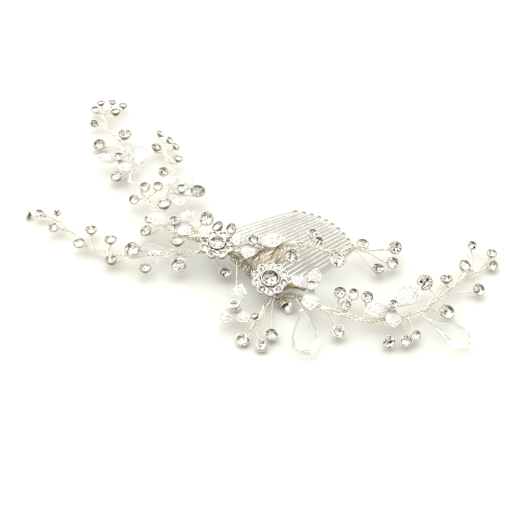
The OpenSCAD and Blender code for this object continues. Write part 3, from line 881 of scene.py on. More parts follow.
@dataclass(frozen=True)
class Bezel:
    """A turned cup with a rounded lip over the stone's edge and four small claws.

    band and lip give points of its profile by how far in from the rim they are and how high over the band's
    foot or the rim, and claw_bend gives the claws' points in the same way.
    """

    wall: float = 0.3
    base_part: float = 0.26
    depth_part: float = 0.42
    band_part: float = 0.2
    foot_in: float = 0.05
    foot_round: Pair = (0.12, 0.1)
    belly: Pair = (0.03, 0.58)
    band: tuple[Pair, ...] = ((0.08, -0.08), (0.06, 0.05))
    lip: tuple[Pair, ...] = (
        (0.06, -0.06), (0.09, 0.04), (0.15, 0.09), (0.25, 0.07), (0.36, 0.02), (0.3, -0.12))
    # tones paint shade on the cup: full at the foot and belly, fading up the band and over the lip, and full
    # again on the inside floor.
    tones: tuple[float, ...] = (1, 1, 1, 0.9, 0.7, 0.5, 0.35, 0.18, 0.08, 0.1, 0.3, 1)
    steps: int = 36
    claws: int = 4
    claw_in: float = 0.06
    claw_radius: float = 0.13
    claw_tip: float = 0.7
    claw_sides: int = 7
    claw_bend: tuple[Pair, ...] = ((0, 0.12), (0.12, 0.28))
    claw_reach: float = 0.2
    claw_over: float = 0.015
    crown_run: float = 0.4

    def depth(self, width: float) -> float:
        """Returns the depth of a cup of that width."""
        return self.depth_part * width

    def base(self, width: float) -> float:
        """Returns the radius of a cup's foot."""
        return self.base_part * width

    def stone_radius(self, width: float) -> float:
        """Returns the radius of the stone in a cup of that width."""
        return width / 2 - self.wall - GAP / 2

    def stone_depth(self, width: float) -> float:
        """Returns the depth of the stone's cone in a cup of that width."""
        return self.depth(width) - self.wall - GAP

    def turn(self, net: Net, width: float, placing: Placing) -> None:
        """Adds the cup.

        Args:
            net: The net that it goes into.
            width: The width over its rim.
            placing: Its rim's middle and axis.
        """
        r, base, depth = width / 2, self.base(width), self.depth(width)
        foot, floor, band = base - self.foot_in, self.wall - depth, -depth * self.band_part
        rounding, rise = self.foot_round
        belly_in, belly_down = self.belly
        profile = [(0, -depth), (foot - rounding, -depth), (foot, rise - depth),
                   ((base + r) / 2 - belly_in, -belly_down * depth),
                   *((r - inward, band + up) for inward, up in self.band),
                   *((r - inward, up) for inward, up in self.lip), (base - self.wall / 2, floor), (0, floor)]
        net.turned(profile, self.steps, placing, vec(self.tones))
        self.bend_claws(net, width, placing)

    def bend_claws(self, net: Net, width: float, placing: Placing) -> None:
        """Adds the claws that hold the stone down, bent from the band over the stone's upper side.

        Args:
            net: The net that they go into.
            width: The width over the cup's rim.
            placing: The rim's middle and axis.
        """
        r, stone = width / 2 - self.claw_in - self.claw_radius, self.stone_radius(width)
        reach = self.claw_reach * stone
        slope = (BRILLIANT.crown * stone - BRILLIANT.edge_high) / (self.crown_run * stone)
        low = -self.depth(width) * self.band_part / 2
        route = [(r, low), *((r - back, up) for back, up in self.claw_bend),
                 (stone - reach, BRILLIANT.edge_high + reach * slope + self.claw_over)]
        for a in around(self.claws, 0.5):
            side = vec([math.cos(a), math.sin(a), 0])
            curve = spline(np.array([out * side + [0, 0, up] for out, up in route]), steps=3)
            radii = np.linspace(1, self.claw_tip, len(curve)) * self.claw_radius
            net.wire(placing.move(curve), radii, self.claw_sides)


BEZEL = Bezel()
BRILLIANT = Brilliant()


def set_stone(cups: Net, stones: Net, width: float, placing: Placing) -> None:
    """Adds a cup of that width to one net and its stone to another."""
    BEZEL.turn(cups, width, placing)
    BRILLIANT.cut(stones, BEZEL.stone_radius(width), BEZEL.stone_depth(width), placing)


@dataclass(frozen=True)
class CupSet:
    """The cup-set stones of one arm. Stones from own_width are pieces of their own."""

    arm: Arm
    own_width: float = 5.2

    def places(self) -> list[StonePlace]:
        """Returns the arm's stones."""
        return [StonePlace(*row) for row in STONES[self.arm]]

    def build(self) -> None:
        """Makes the cups, the small stones and the larger ones."""
        cups, small = Net(), Net()
        arm, own = self.arm.value, 0
        for row in self.places():
            placing = Placing.facing(spot(row), row.tilt, row.toward)
            mine = row.width >= self.own_width
            net = Net() if mine else small
            set_stone(cups, net, row.width, placing)
            if mine:
                own += 1
                net.build(f"brilliant_{arm}_{own}", [STONE_GLASS, FOIL], Slot.STONE, [f"stone_{arm}_{own}"])
        cups.build(f"claw_cups_{arm}", [GOLD_CUP], Slot.GOLD_CUP, [f"cups_{arm}"])
        small.build(f"brilliants_{arm}", [STONE_GLASS, FOIL], Slot.STONE, [f"small_stones_{arm}"])


# The comb.


@dataclass(frozen=True)
class Bar:
    """The comb's bowed bar, and the places along it from 0 to 1."""

    far: Triple = (-17.5, -29.5, 8)
    near: Triple = (12.2, -62.8, 2)
    wire: float = 1.3
    bow: float = 1.5
    tooth_wire: float = 0.9
    stem_wire: float = 0.9
    spine_lean: float = 25
    first_root: float = 0.07
    last_root: float = 0.84
    teeth: int = 10
    far_ball: float = 1.15
    near_ball: float = 1.5
    bead: float = 0.95
    bead_off: Triple = (0.8, 0.2, 2)
    painted_shade_from: float = 0.86
    steps: int = 60
    sides: int = 16
    ball_rows: int = 15
    ball_sides: int = 24

    @property
    def line(self) -> Vec:
        """The straight line from the far end to the near end."""
        return vec(self.near) - vec(self.far)

    @property
    def length(self) -> float:
        """The length of the straight line."""
        return float(np.linalg.norm(self.line))

    @property
    def radius(self) -> float:
        """The radius of the bow."""
        return (self.length**2 / 4 + self.bow**2) / (2 * self.bow)

    @property
    def up(self) -> Vec:
        """The upper side at the middle."""
        return level(UP, unit(self.line))

    @property
    def side(self) -> Vec:
        """The side that the teeth leave from."""
        return np.cross(self.up, unit(self.line))

    def angle(self, place: float) -> float:
        """Returns the angle of a place about the bow's centre."""
        return math.asin(self.length / 2 / self.radius) * (2 * place - 1)

    def up_at(self, place: float) -> Vec:
        """Returns the upper side at a place."""
        a = self.angle(place)
        return math.cos(a) * self.up + math.sin(a) * unit(self.line)

    def along_at(self, place: float) -> Vec:
        """Returns the bar's direction at a place."""
        a = self.angle(place)
        return math.cos(a) * unit(self.line) - math.sin(a) * self.up

    def at(self, place: float) -> Vec:
        """Returns the bar's centre at a place."""
        middle = (vec(self.far) + vec(self.near)) / 2
        return middle - (self.radius - self.bow) * self.up + self.radius * self.up_at(place)

    def root(self, i: int) -> float:
        """Returns the place of a tooth's root."""
        return self.first_root + (self.last_root - self.first_root) * i / (self.teeth - 1)

    def lash_up(self, place: float) -> Vec:
        """Returns the direction from the bar to the spine that lies on it."""
        lean = math.radians(self.spine_lean)
        return math.cos(lean) * self.up_at(place) - math.sin(lean) * self.side

    @property
    def spine_lift(self) -> float:
        """The height of the spine's centre over the bar's."""
        return self.wire / 2 + self.tooth_wire + 2 * GAP + self.stem_wire / 2

    def spine(self) -> Vec:
        """Returns the spine's route."""
        return np.array([self.at(p) + self.spine_lift * self.lash_up(p) for p in SPINE_PLACES])

    def build(self) -> None:
        """Makes the bar with a soldered ball at each end and a bead on the near one."""
        net = Net()
        places = np.linspace(0, 1, self.steps)
        line = np.array([self.at(p) for p in places])
        # Under the coil the bar is painted in shade, from that place to the near end.
        net.wire(line, self.wire / 2, self.sides, tone=np.where(places > self.painted_shade_from, 1.0, 0.0))
        near = vec(self.near)
        ends = ((vec(self.far), self.far_ball), (near, self.near_ball), (near + self.bead_off, self.bead))
        for middle, size in ends:
            net.turned(ball(size, self.ball_rows), self.ball_sides, Placing.facing(middle, 0, 0))
        net.build("bar_wire", [SILVER_WIRE], Slot.SILVER_WIRE, ["comb_bar"])


BAR = Bar()


@dataclass(frozen=True)
class Teeth:
    """The teeth, each a wire bent double whose ends turn round the bar, and the end coil beside them."""

    wire: float = 0.9
    width: float = 1.7
    bow: float = 0.4
    first_tip: Triple = (17, -5, 0.5)
    last_tip: Triple = (38.5, -26.5, 0.6)
    worn: float = 0.03
    tip_bulge: float = 3
    tip_lift: float = 1.5
    leg_places: tuple[float, ...] = (0.12, 0.23, 0.34, 0.45, 0.56, 0.67, 0.78, 0.89, 1)
    hold: tuple[int, ...] = (-240, -210, -180, -150, -120, -90, -60, -30, 0)
    tip_turn: tuple[int, ...] = (-60, -30, 0, 30, 60)
    tip_part: float = 0.12
    tip_painted_shade: float = 0.75
    sides: int = 10
    coil_turns: float = 3.5
    coil_steps: int = 20
    coil_wire: float = 0.7
    coil_from: float = 0.893
    coil_to: float = 0.962
    coil_reach: float = 1.62

    def turn_round(self, place: float, offset: float, degrees: Sequence[float], reach: float) -> Vec:
        """Returns points on a turn round the bar.

        Args:
            place: The place on the bar.
            offset: How far along the bar from there.
            degrees: The angle of each point from the upper side.
            reach: The turn's radius.

        Returns:
            The points.
        """
        a = np.radians(degrees)[:, None]
        out = np.cos(a) * BAR.up_at(place) + np.sin(a) * BAR.side
        return BAR.at(place) + offset * BAR.along_at(place) + reach * out

    def tooth(self, i: int) -> Vec:
        """Finds the line of one tooth.

        Args:
            i: The tooth's number, from the far end.

        Returns:
            Its points, from one turn round the bar to the other.
        """
        part = i / (BAR.teeth - 1)
        place = BAR.root(i)
        first, last = vec(self.first_tip), vec(self.last_tip)
        swell = 4 * part * (1 - part)
        tip = first + (last - first) * part + swell * (self.tip_bulge * BAR.side + self.tip_lift * UP)
        half = self.width / 2
        reach = BAR.wire / 2 + GAP + self.wire / 2
        start = self.turn_round(place, 0, [0], reach)[0]
        out = unit(tip - start)
        along = BAR.along_at(place)
        across = level(along, out)
        bend = tip - half * out
        halves = []
        for s in (-1, 1):
            leg = [start + (bend - start) * t + s * half * (along + (across - along) * t)
                   + self.bow * 4 * t * (1 - t) * UP for t in self.leg_places]
            halves.append(np.concatenate([self.turn_round(place, s * half, self.hold, reach), leg]))
        a = np.radians(self.tip_turn)[:, None]
        turn = bend + half * (np.cos(a) * out + np.sin(a) * across)
        return spline(np.concatenate([halves[0], turn, halves[1][::-1]]), steps=4)

    def build(self) -> None:
        """Makes the teeth and the end coil."""
        net = Net()
        for i in range(BAR.teeth):
            path = self.tooth(i)
            near_tip = np.abs(np.linspace(-1, 1, len(path))) < self.tip_part
            radius = self.wire / 2 - self.worn
            # Near its tip each tooth is painted partly in shade.
            net.wire(path, radius, self.sides, tone=np.where(near_tip, self.tip_painted_shade, 0.0))
        steps = int(self.coil_turns * self.coil_steps) + 1
        places = np.linspace(self.coil_from, self.coil_to, steps)
        turns = np.linspace(0, 360 * self.coil_turns, steps)
        coil = np.concatenate([self.turn_round(p, 0, [a], self.coil_reach) for p, a in zip(places, turns)])
        # The coil's turns are painted in shade on their sides towards the bar.
        net.wire(coil, self.coil_wire / 2, self.sides, 1, core=np.array([BAR.at(p) for p in places]))
        net.build("tooth_wires", [SILVER_WIRE, COIL], Slot.SILVER_WIRE, ["comb_teeth"])


@dataclass(frozen=True)
class Lashing:
    """Turns of fine dark gold wire that lash the spine to the bar, in tight bands and loose crossing runs.

    loose_runs gives each run's start, end and turns, and wrapped gives the stems' roots that are wound: arm,
    start, end, radius and turns. ties are single wires over the top. The net crosses from the bar to the
    upper right arm.
    """

    wire: float = 0.28
    sides: int = 6
    band_turns: int = 3
    band_width: float = 0.62
    turn_steps: int = 12
    uneven: Pair = (-0.04, 0.05)
    slack: Pair = (0.05, 0.2)
    loose_runs: tuple[Triple, ...] = ((0.1, 0.26, 3.5), (0.3, 0.62, 6.5), (0.5, 0.36, 3), (0.66, 0.84, 5))
    wrapped: tuple[tuple[Arm, float, float, float, int], ...] = (
        (Arm.RIGHT_TOP, 0.1, 2.7, 1.15, 13), (Arm.RIGHT_TOP, 2.4, 0.4, 1.35, 5),
        (Arm.RIGHT_LOW, 0.15, 1.0, 1.1, 8), (Arm.LEFT, 0.1, 1.3, 0.85, 6), (Arm.UPPER, 0.1, 1.2, 0.85, 6))
    wrap_steps: int = 9
    wrap_stray: float = 0.12
    ties: tuple[tuple[Triple, ...], ...] = (
        ((-3.5, -48, 5), (-2, -45.5, 9.9), (1.5, -42.5, 12.2), (7, -39, 12.6), (10, -36, 9)),
        ((-6, -45, 6), (-5, -42.5, 10.5), (-1.5, -40, 11.5), (2, -38, 9.5)),
        ((-9, -41, 7), (-7.5, -38.5, 10.8), (-5, -40.5, 11.3), (-1, -45, 10), (-0.5, -49, 5.5)),
        ((0, -51, 5), (1, -48, 9.2), (4.5, -43.5, 12.3), (8, -38.5, 11.5), (8, -36, 8.5)))
    tie_part: float = 1.4
    tie_sides: int = 7
    net_bar: Pair = (0.3, 0.8)
    net_stem: Pair = (0.2, 3.0)
    net_wires: int = 22
    net_rise: float = 2.3
    net_step: float = 0.6
    net_stray: float = 0.4
    net_cross: float = 0.3
    net_bow: Pair = (1.0, 0.8)
    net_reach: Pair = (0.8, 0.5)
    net_parts: Pair = (1.0, 1.7)
    net_points: int = 16
    bundle: tuple[Triple, ...] = ((8.5, -57.6, 5.6), (11, -56.8, 7), (15, -57, 8), (18.5, -58.6, 8))
    bundle_radius: float = 1.0
    bundle_core: float = 0.7
    bundle_turns: int = 15
    bundle_sides: int = 8
    seed: int = 5

    def hoop(self, place: float, degrees: float, low: float, high: float) -> Vec:
        """Returns a point on a turn round both the bar and the spine.

        Args:
            place: The place on the bar.
            degrees: The angle round the turn.
            low: The turn's radius at the bar.
            high: Its radius at the spine.

        Returns:
            The point.
        """
        up, a = BAR.lash_up(place), math.radians(degrees)
        out = np.cross(up, BAR.along_at(place))
        lift, r = (BAR.spine_lift, high) if math.sin(a) > 0 else (0.0, low)
        return BAR.at(place) + up * (lift + r * math.sin(a)) + out * r * math.cos(a)

    def wind(self, net: Net, start: float, end: float, turns: float, low: float, high: float,
             rng: random.Random) -> None:
        """Adds one run of turns.

        Args:
            net: The net that it goes into.
            start: The place on the bar where it starts.
            end: The place where it ends.
            turns: The number of turns.
            low: The turns' radius at the bar.
            high: Their radius at the spine.
            rng: The source of its small unevenness.
        """
        count = int(turns * self.turn_steps)
        points = []
        for k in range(count + 1):
            t = k / count
            wobble = 1 + rng.uniform(*self.uneven)
            degrees = 360 * k / self.turn_steps
            points.append(self.hoop(start + (end - start) * t, degrees, low * wobble, high * wobble))
        net.wire(spline(np.array(points), steps=3), self.wire / 2, self.sides)

    def wrap(self, net: Net, route: Vec, start: float, end: float, radius: float, turns: int,
             rng: random.Random) -> None:
        """Winds the wire unevenly round a bundle.

        Args:
            net: The net that it goes into.
            route: The bundle's points.
            start: The place on it where the winding starts.
            end: The place where it ends.
            radius: The winding's radius.
            turns: The number of turns.
            rng: The source of its unevenness.
        """
        count = turns * self.wrap_steps
        path = np.array([spline_at(route, start + (end - start) * k / count) for k in range(count + 1)])
        _, ns, bs = frames(path)
        a = 2 * math.pi / self.wrap_steps * np.arange(count + 1)[:, None]
        stray = self.wrap_stray
        reach = radius * vec([1 + rng.uniform(-stray, stray) for _ in range(count + 1)])[:, None]
        turned = path + reach * (np.cos(a) * ns + np.sin(a) * bs)
        net.wire(spline(turned, steps=3), self.wire / 2, self.sides)

    def weave(self, net: Net, rng: random.Random) -> None:
        """Adds the net of wires between the bar and the upper right arm, every second one lighter.

        Args:
            net: The net that it goes into.
            rng: The source of its unevenness.
        """
        route = vec(ROUTES[Arm.RIGHT_TOP])
        aside, rise = self.net_bow
        below, above = self.net_reach
        for k in range(self.net_wires):
            t = (k + rng.uniform(-self.net_stray, self.net_stray)) / (self.net_wires - 1)
            crossed = t + rng.uniform(-self.net_cross, self.net_cross)
            low = BAR.at(np.interp(t, (0, 1), self.net_bar)) + (self.net_rise - self.net_step * (k % 2)) * UP
            high = spline_at(route, float(np.interp(crossed, (0, 1), self.net_stem)))
            bow = vec([rng.uniform(-aside, aside), rng.uniform(-aside, aside), rng.uniform(0, rise)])
            path = bezier([low - below * UP, low, (low + high) / 2 + bow, high + above * UP], self.net_points)
            net.wire(path, self.wire / 2 * rng.uniform(*self.net_parts), self.sides, k % 2)

    def build(self) -> None:
        """Makes the bands between the teeth and the loose runs over them, then the roots' windings."""
        net, rng = Net(), random.Random(self.seed)
        snug = BAR.wire / 2 + GAP + self.wire / 2
        over = BAR.wire / 2 + BAR.tooth_wire + 2 * GAP + self.wire / 2
        tight, loose = (BAR.stem_wire / 2 + self.wire / 2 + slack for slack in self.slack)
        for i in range(BAR.teeth - 1):
            middle = (BAR.root(i) + BAR.root(i + 1)) / 2
            half = self.band_width / 2 / BAR.length
            self.wind(net, middle - half, middle + half, self.band_turns, snug, tight, rng)
        for start, end, turns in self.loose_runs:
            self.wind(net, start, end, turns, over, loose, rng)
        net.build("lashing_wire", [BINDING], Slot.BINDING, ["binding_wire"])
        roots = Net()
        for arm, start, end, radius, turns in self.wrapped:
            self.wrap(roots, vec(ROUTES[arm]), start, end, radius, turns, rng)
        bundle = vec(self.bundle)
        self.wrap(roots, bundle, 0, len(bundle) - 1, self.bundle_radius, self.bundle_turns, rng)
        roots.wire(spline(bundle, steps=8), self.bundle_radius * self.bundle_core, self.bundle_sides)
        for tie in self.ties:
            roots.wire(spline(vec(tie), steps=8), self.wire / 2 * self.tie_part, self.tie_sides, 1)
        self.weave(roots, rng)
        roots.build("root_lashing", [BINDING, TIE], Slot.BINDING)


# The spray.


@dataclass(frozen=True)
class Twist:
    """Two thin wires twisted loosely together."""

    width: float
    wire: float
    pitch: float
    sides: int
    turn_steps: int = 10

    def wind(self, net: Net, path: Vec, start: float = 0.0) -> None:
        """Adds the two strands along a path.

        Args:
            net: The net that they go into.
            path: The pair's middle line.
            start: The turn at its first point, in radians.
        """
        path = even(path, self.pitch / self.turn_steps)
        ds, ns, bs = frames(path)
        turn = (lengths(path) / self.pitch * 2 * math.pi + start)[:, None]
        for half in (0, math.pi):
            off = (self.width - self.wire) / 2 * (np.cos(turn + half) * ns + np.sin(turn + half) * bs)
            # Each strand is painted in shade on its side towards the other.
            net.wire(path + off, self.wire / 2, self.sides, core=path)


@dataclass(frozen=True)
class Stem:
    """One run of twisted stem with the twigs that leave it."""

    arm: Arm
    main: Twist = Twist(width=0.96, wire=0.38, pitch=3.2, sides=8)
    side: Twist = Twist(width=0.62, wire=0.3, pitch=2.0, sides=6)
    bend_length: float = 2.0
    glance: float = 0.05
    leave: Pair = (1.6, 0.3)
    back_from: float = -0.3
    sink: float = 0.04
    twist_step: float = 1.3
    curve_points: int = 8
    lead_in: float = 10.0
    lead_least: float = 0.8
    lead_turn: float = 170.0
    lead_slack: float = 0.45
    lead_steps: int = 16
    lead_fine: int = 12
    lead_glance: float = 0.3

    def route(self) -> Vec:
        """Returns the run's own points."""
        return BAR.spine() if self.arm is Arm.SPINE else vec(ROUTES[self.arm])

    def twig(self, net: Net, place: float, to: Vec, axis: Vec, number: int) -> None:
        """Adds the twig from a place on the stem to the foot of a thing.

        Args:
            net: The net that it goes into.
            place: The place on the stem where it leaves.
            to: The foot of the thing that it carries.
            axis: The thing's own axis.
            number: The twig's number, which varies its twist.
        """
        route = self.route()
        at = spline_at(route, place)
        ahead = spline_at(route, min(place + self.glance, len(route) - 1))
        run = unit(ahead - spline_at(route, max(place - self.glance, 0)))
        seat = to - (GAP + self.side.width / 2) * axis
        bend = seat - min(self.bend_length, float(np.linalg.norm(seat - at)) / 3) * axis
        bend[2] = max(bend[2], self.side.width / 2 + GAP)
        side = level(bend - at, run)
        reach = self.main.width / 2 + self.side.width / 2
        start = at + reach * side
        span = float(np.linalg.norm(bend - start))
        forward = 1 if (seat - at) @ run > self.back_from * span else -1
        most, part = self.leave
        leave = start + forward * min(most, part * span) * run
        curve = bezier([start, leave, bend, seat], max(self.curve_points, int(span * 2)))
        path = np.concatenate([self.lead(place, side, forward, reach), curve, [to - self.sink * axis]])
        self.side.wind(net, spline(path, steps=2), number * self.twist_step)

    def lead(self, place: float, side: Vec, forward: int, reach: float) -> Vec:
        """Finds the stretch of a twig that winds loosely along the stem before it leaves.

        Args:
            place: The place on the stem where the twig leaves.
            side: The side of the stem that it leaves from.
            forward: 1 where the twig comes from the stem's start, -1 where it comes from its end.
            reach: How far from the stem's middle line it leaves.

        Returns:
            The points of the stretch, the first one farthest from where it leaves.
        """
        route = self.route()
        stem = spline(route, self.lead_fine)
        run = lengths(stem)

        def along_stem(far: float) -> Vec:
            """Returns the point so many millimetres along the stem."""
            return vec([np.interp(np.clip(far, 0, run[-1]), run, stem[:, k]) for k in range(3)])

        here = float(np.interp(place * self.lead_fine, np.arange(len(run)), run))
        length = min(self.lead_in, max(self.lead_least, here if forward > 0 else run[-1] - here))
        part = length / self.lead_in
        points = []
        for t in np.linspace(1, 0, self.lead_steps)[:-1]:
            far = float(np.clip(here - forward * t * length, 0, run[-1]))
            along = unit(along_stem(far + self.lead_glance) - along_stem(far - self.lead_glance))
            near = level(side, along)
            a = math.radians(self.lead_turn * t * part)
            swing = reach + self.lead_slack * part * math.sin(math.pi * t)
            way = math.cos(a) * near + math.sin(a) * np.cross(along, near)
            points.append(along_stem(far) + swing * way)
        return np.array(points)

    def build(self) -> None:
        """Makes the run and its twigs."""
        net = Net()
        self.main.wind(net, spline(self.route(), steps=8))
        for number, (place, to, axis) in enumerate(self.loads()):
            self.twig(net, place, to, axis, number)
        net.build(f"twisted_stem_{self.arm.value}", [GOLD_WIRE], Slot.GOLD_WIRE, [f"stem_{self.arm.value}"])

    def loads(self) -> Iterator[tuple[float, Vec, Vec]]:
        """Yields the place, the foot and the axis of each thing that this run carries."""
        for arm, rows in STONES.items():
            for row in (StonePlace(*r) for r in rows):
                on_spine = row.place < 0
                if (self.arm is Arm.SPINE) if on_spine else (self.arm is arm):
                    axis = leaning(row.tilt, row.toward)
                    yield row.place + SPINE_ZERO * on_spine, spot(row) - BEZEL.depth(row.width) * axis, axis
        for row in FLOWERS:
            if row.arm is self.arm:
                head = FlowerHead(row)
                yield row.place, head.foot(), head.axis
        for row in DROPS:
            if row.arm is self.arm:
                yield row.place, spot(row), leaning(90 + row.fall, row.toward)


@dataclass(frozen=True)
class FlowerHead:
    """A flower: one enamelled sheet of three petals with a silver edge, under a silver cup and its stone.

    under gives the rings of the underside by their part of the way to the outline, sides the edge's rings by
    their part of its thickness, and lip how far over the edge and how far in the silver lip's rings are.
    """

    row: FlowerPlace
    cup: float = 4.4
    thick: float = 0.7
    edge_thick: float = 0.4
    dome: float = 0.9
    ridge: float = 0.6
    lift: float = 0.16
    half_angle: float = 34
    point: float = 0.15
    petal_points: int = 35
    gap_step: float = 0.12
    hub: float = 1.6
    hub_flat: float = 2.4
    least_ring: float = 0.05
    least_way: float = 0.01
    under: tuple[float, ...] = (0.08, 0.3, 0.5, 0.7, 0.85, 0.97)
    sides: Pair = (0.8, 0.3)
    lip: tuple[Pair, ...] = ((0.02, 0.05), (0.06, 0.16), (0.03, 0.3))
    upper: tuple[float, float, int] = (0.955, 0.06, 22)
    sink: float = 0.02
    pits: float = 0.05
    pits_from: float = 0.2
    edge_from: float = 0.62
    under_painted_shade: float = 0.35

    @property
    def axis(self) -> Vec:
        """The axis of the petals."""
        return leaning(self.row.tilt, self.row.toward)

    def top(self) -> Vec:
        """Returns the middle of the sheet's upper side."""
        sink = BEZEL.base(self.cup) * math.sin(math.radians(abs(self.row.stone_tilt - self.row.tilt)))
        stone_axis = leaning(self.row.stone_tilt, self.row.toward)
        return spot(self.row) - BEZEL.depth(self.cup) * stone_axis - (GAP + sink) * self.axis

    def foot(self) -> Vec:
        """Returns the middle of the sheet's lower side."""
        return self.top() - self.thick * self.axis

    def outline(self) -> Vec:
        """Returns the outline's points: angle in radians, reach, and place across its petal from -1 to 1."""
        rows: list[Triple] = []
        spread = np.sin(np.linspace(-1, 1, self.petal_points) * math.pi / 2)
        for direction, length in self.row.petals:
            for s in spread:
                arch = 4 * abs(s) * (1 - abs(s))
                reach = length * math.sqrt(max(0.0, 1 - abs(s) ** 3)) * (1 - self.point * arch)
                angle = (direction - self.row.toward + s * self.half_angle) % 360
                rows.append((math.radians(angle), max(self.hub, reach), s))
        rows.sort()
        filled: list[Triple] = []
        for here, after in zip(rows, [*rows[1:], (rows[0][0] + 2 * math.pi, *rows[0][1:])]):
            filled.append(here)
            steps = int((after[0] - here[0]) / self.gap_step)
            for k in range(1, steps + 1):
                filled.append((here[0] + (after[0] - here[0]) * k / (steps + 1), self.hub, 1.0))
        return np.array(filled)

    def sheet(self, net: Net) -> None:
        """Adds the enamelled sheet: coat 0 is its upper side, coat 1 its edge and underside, partly in
        painted shade.

        Args:
            net: The net that it goes into.
        """
        angle, reach, across = self.outline().T
        rng = np.random.default_rng(ord(self.row.name))

        def ring(part: float, drop: float, shrink: float = 0.0) -> Vec:
            """Makes one ring of the sheet.

            Args:
                part: How much of the way to the outline it reaches.
                drop: How far it lies under the middle's upper side.
                shrink: How far it is drawn in.

            Returns:
                Its points.
            """
            r = np.maximum(part * reach - shrink, self.least_ring)
            out = np.maximum(0, r - self.hub_flat)
            way = np.clip(out / np.maximum(reach - self.hub_flat, self.least_way), 0, 1)
            ridge = self.ridge * (1 - across**2) + (1 - self.ridge) * (1 - np.abs(across))
            z = self.lift * out + self.dome * np.sin(math.pi * way) * ridge - drop
            return np.stack([r * np.cos(angle), r * np.sin(angle), z], axis=1)

        skins = [ring(p, self.thick - (self.thick - self.edge_thick) * p) for p in self.under]
        skins += [ring(1, p * self.edge_thick) for p in self.sides]
        skins += [ring(1, -up, back) for up, back in self.lip]
        split = len(skins) - 1
        reaches = np.linspace(*self.upper)
        for p in reaches:
            rough = ring(p, self.sink)
            rough[:, 2] += rng.uniform(-1, 1, len(rough)) * self.pits * (p > self.pits_from)
            skins.append(rough)
        placing = Placing.facing(self.top(), self.row.tilt, self.row.toward)
        grid = placing.move(np.array(skins))
        low, high = placing.move(vec([[0, 0, -self.thick], [0, 0, -self.sink]]))
        # The silver edge and the underside are painted partly in shade.
        net.rings(grid[: split + 1], 1, self.under_painted_shade, (low, None))
        edge = np.clip((np.append(1.0, reaches) - self.edge_from) / (1 - self.edge_from), 0, 1)
        net.rings(grid[split:], 0, edge, (None, high))

    def build(self) -> None:
        """Makes the sheet of petals."""
        net = Net()
        self.sheet(net)
        net.build(f"petals_{self.row.name}", [ENAMEL, SILVER_CUP], Slot.PETAL, [f"flower_{self.row.name}"])


@dataclass(frozen=True)
class FlowerStones:
    """The silver cups and the stones in the middle of the flowers."""

    rows: tuple[FlowerPlace, ...] = FLOWERS

    def build(self) -> None:
        """Makes all cups as one piece and all stones as another."""
        cups, stones = Net(), Net()
        for row in self.rows:
            head = FlowerHead(row)
            set_stone(cups, stones, head.cup, Placing.facing(spot(row), row.stone_tilt, row.toward))
        cups.build("flower_claw_cups", [SILVER_CUP], Slot.SILVER_CUP, ["flower_cups"])
        stones.build("flower_brilliants", [STONE_GLASS, FOIL], Slot.STONE, ["flower_stones"])


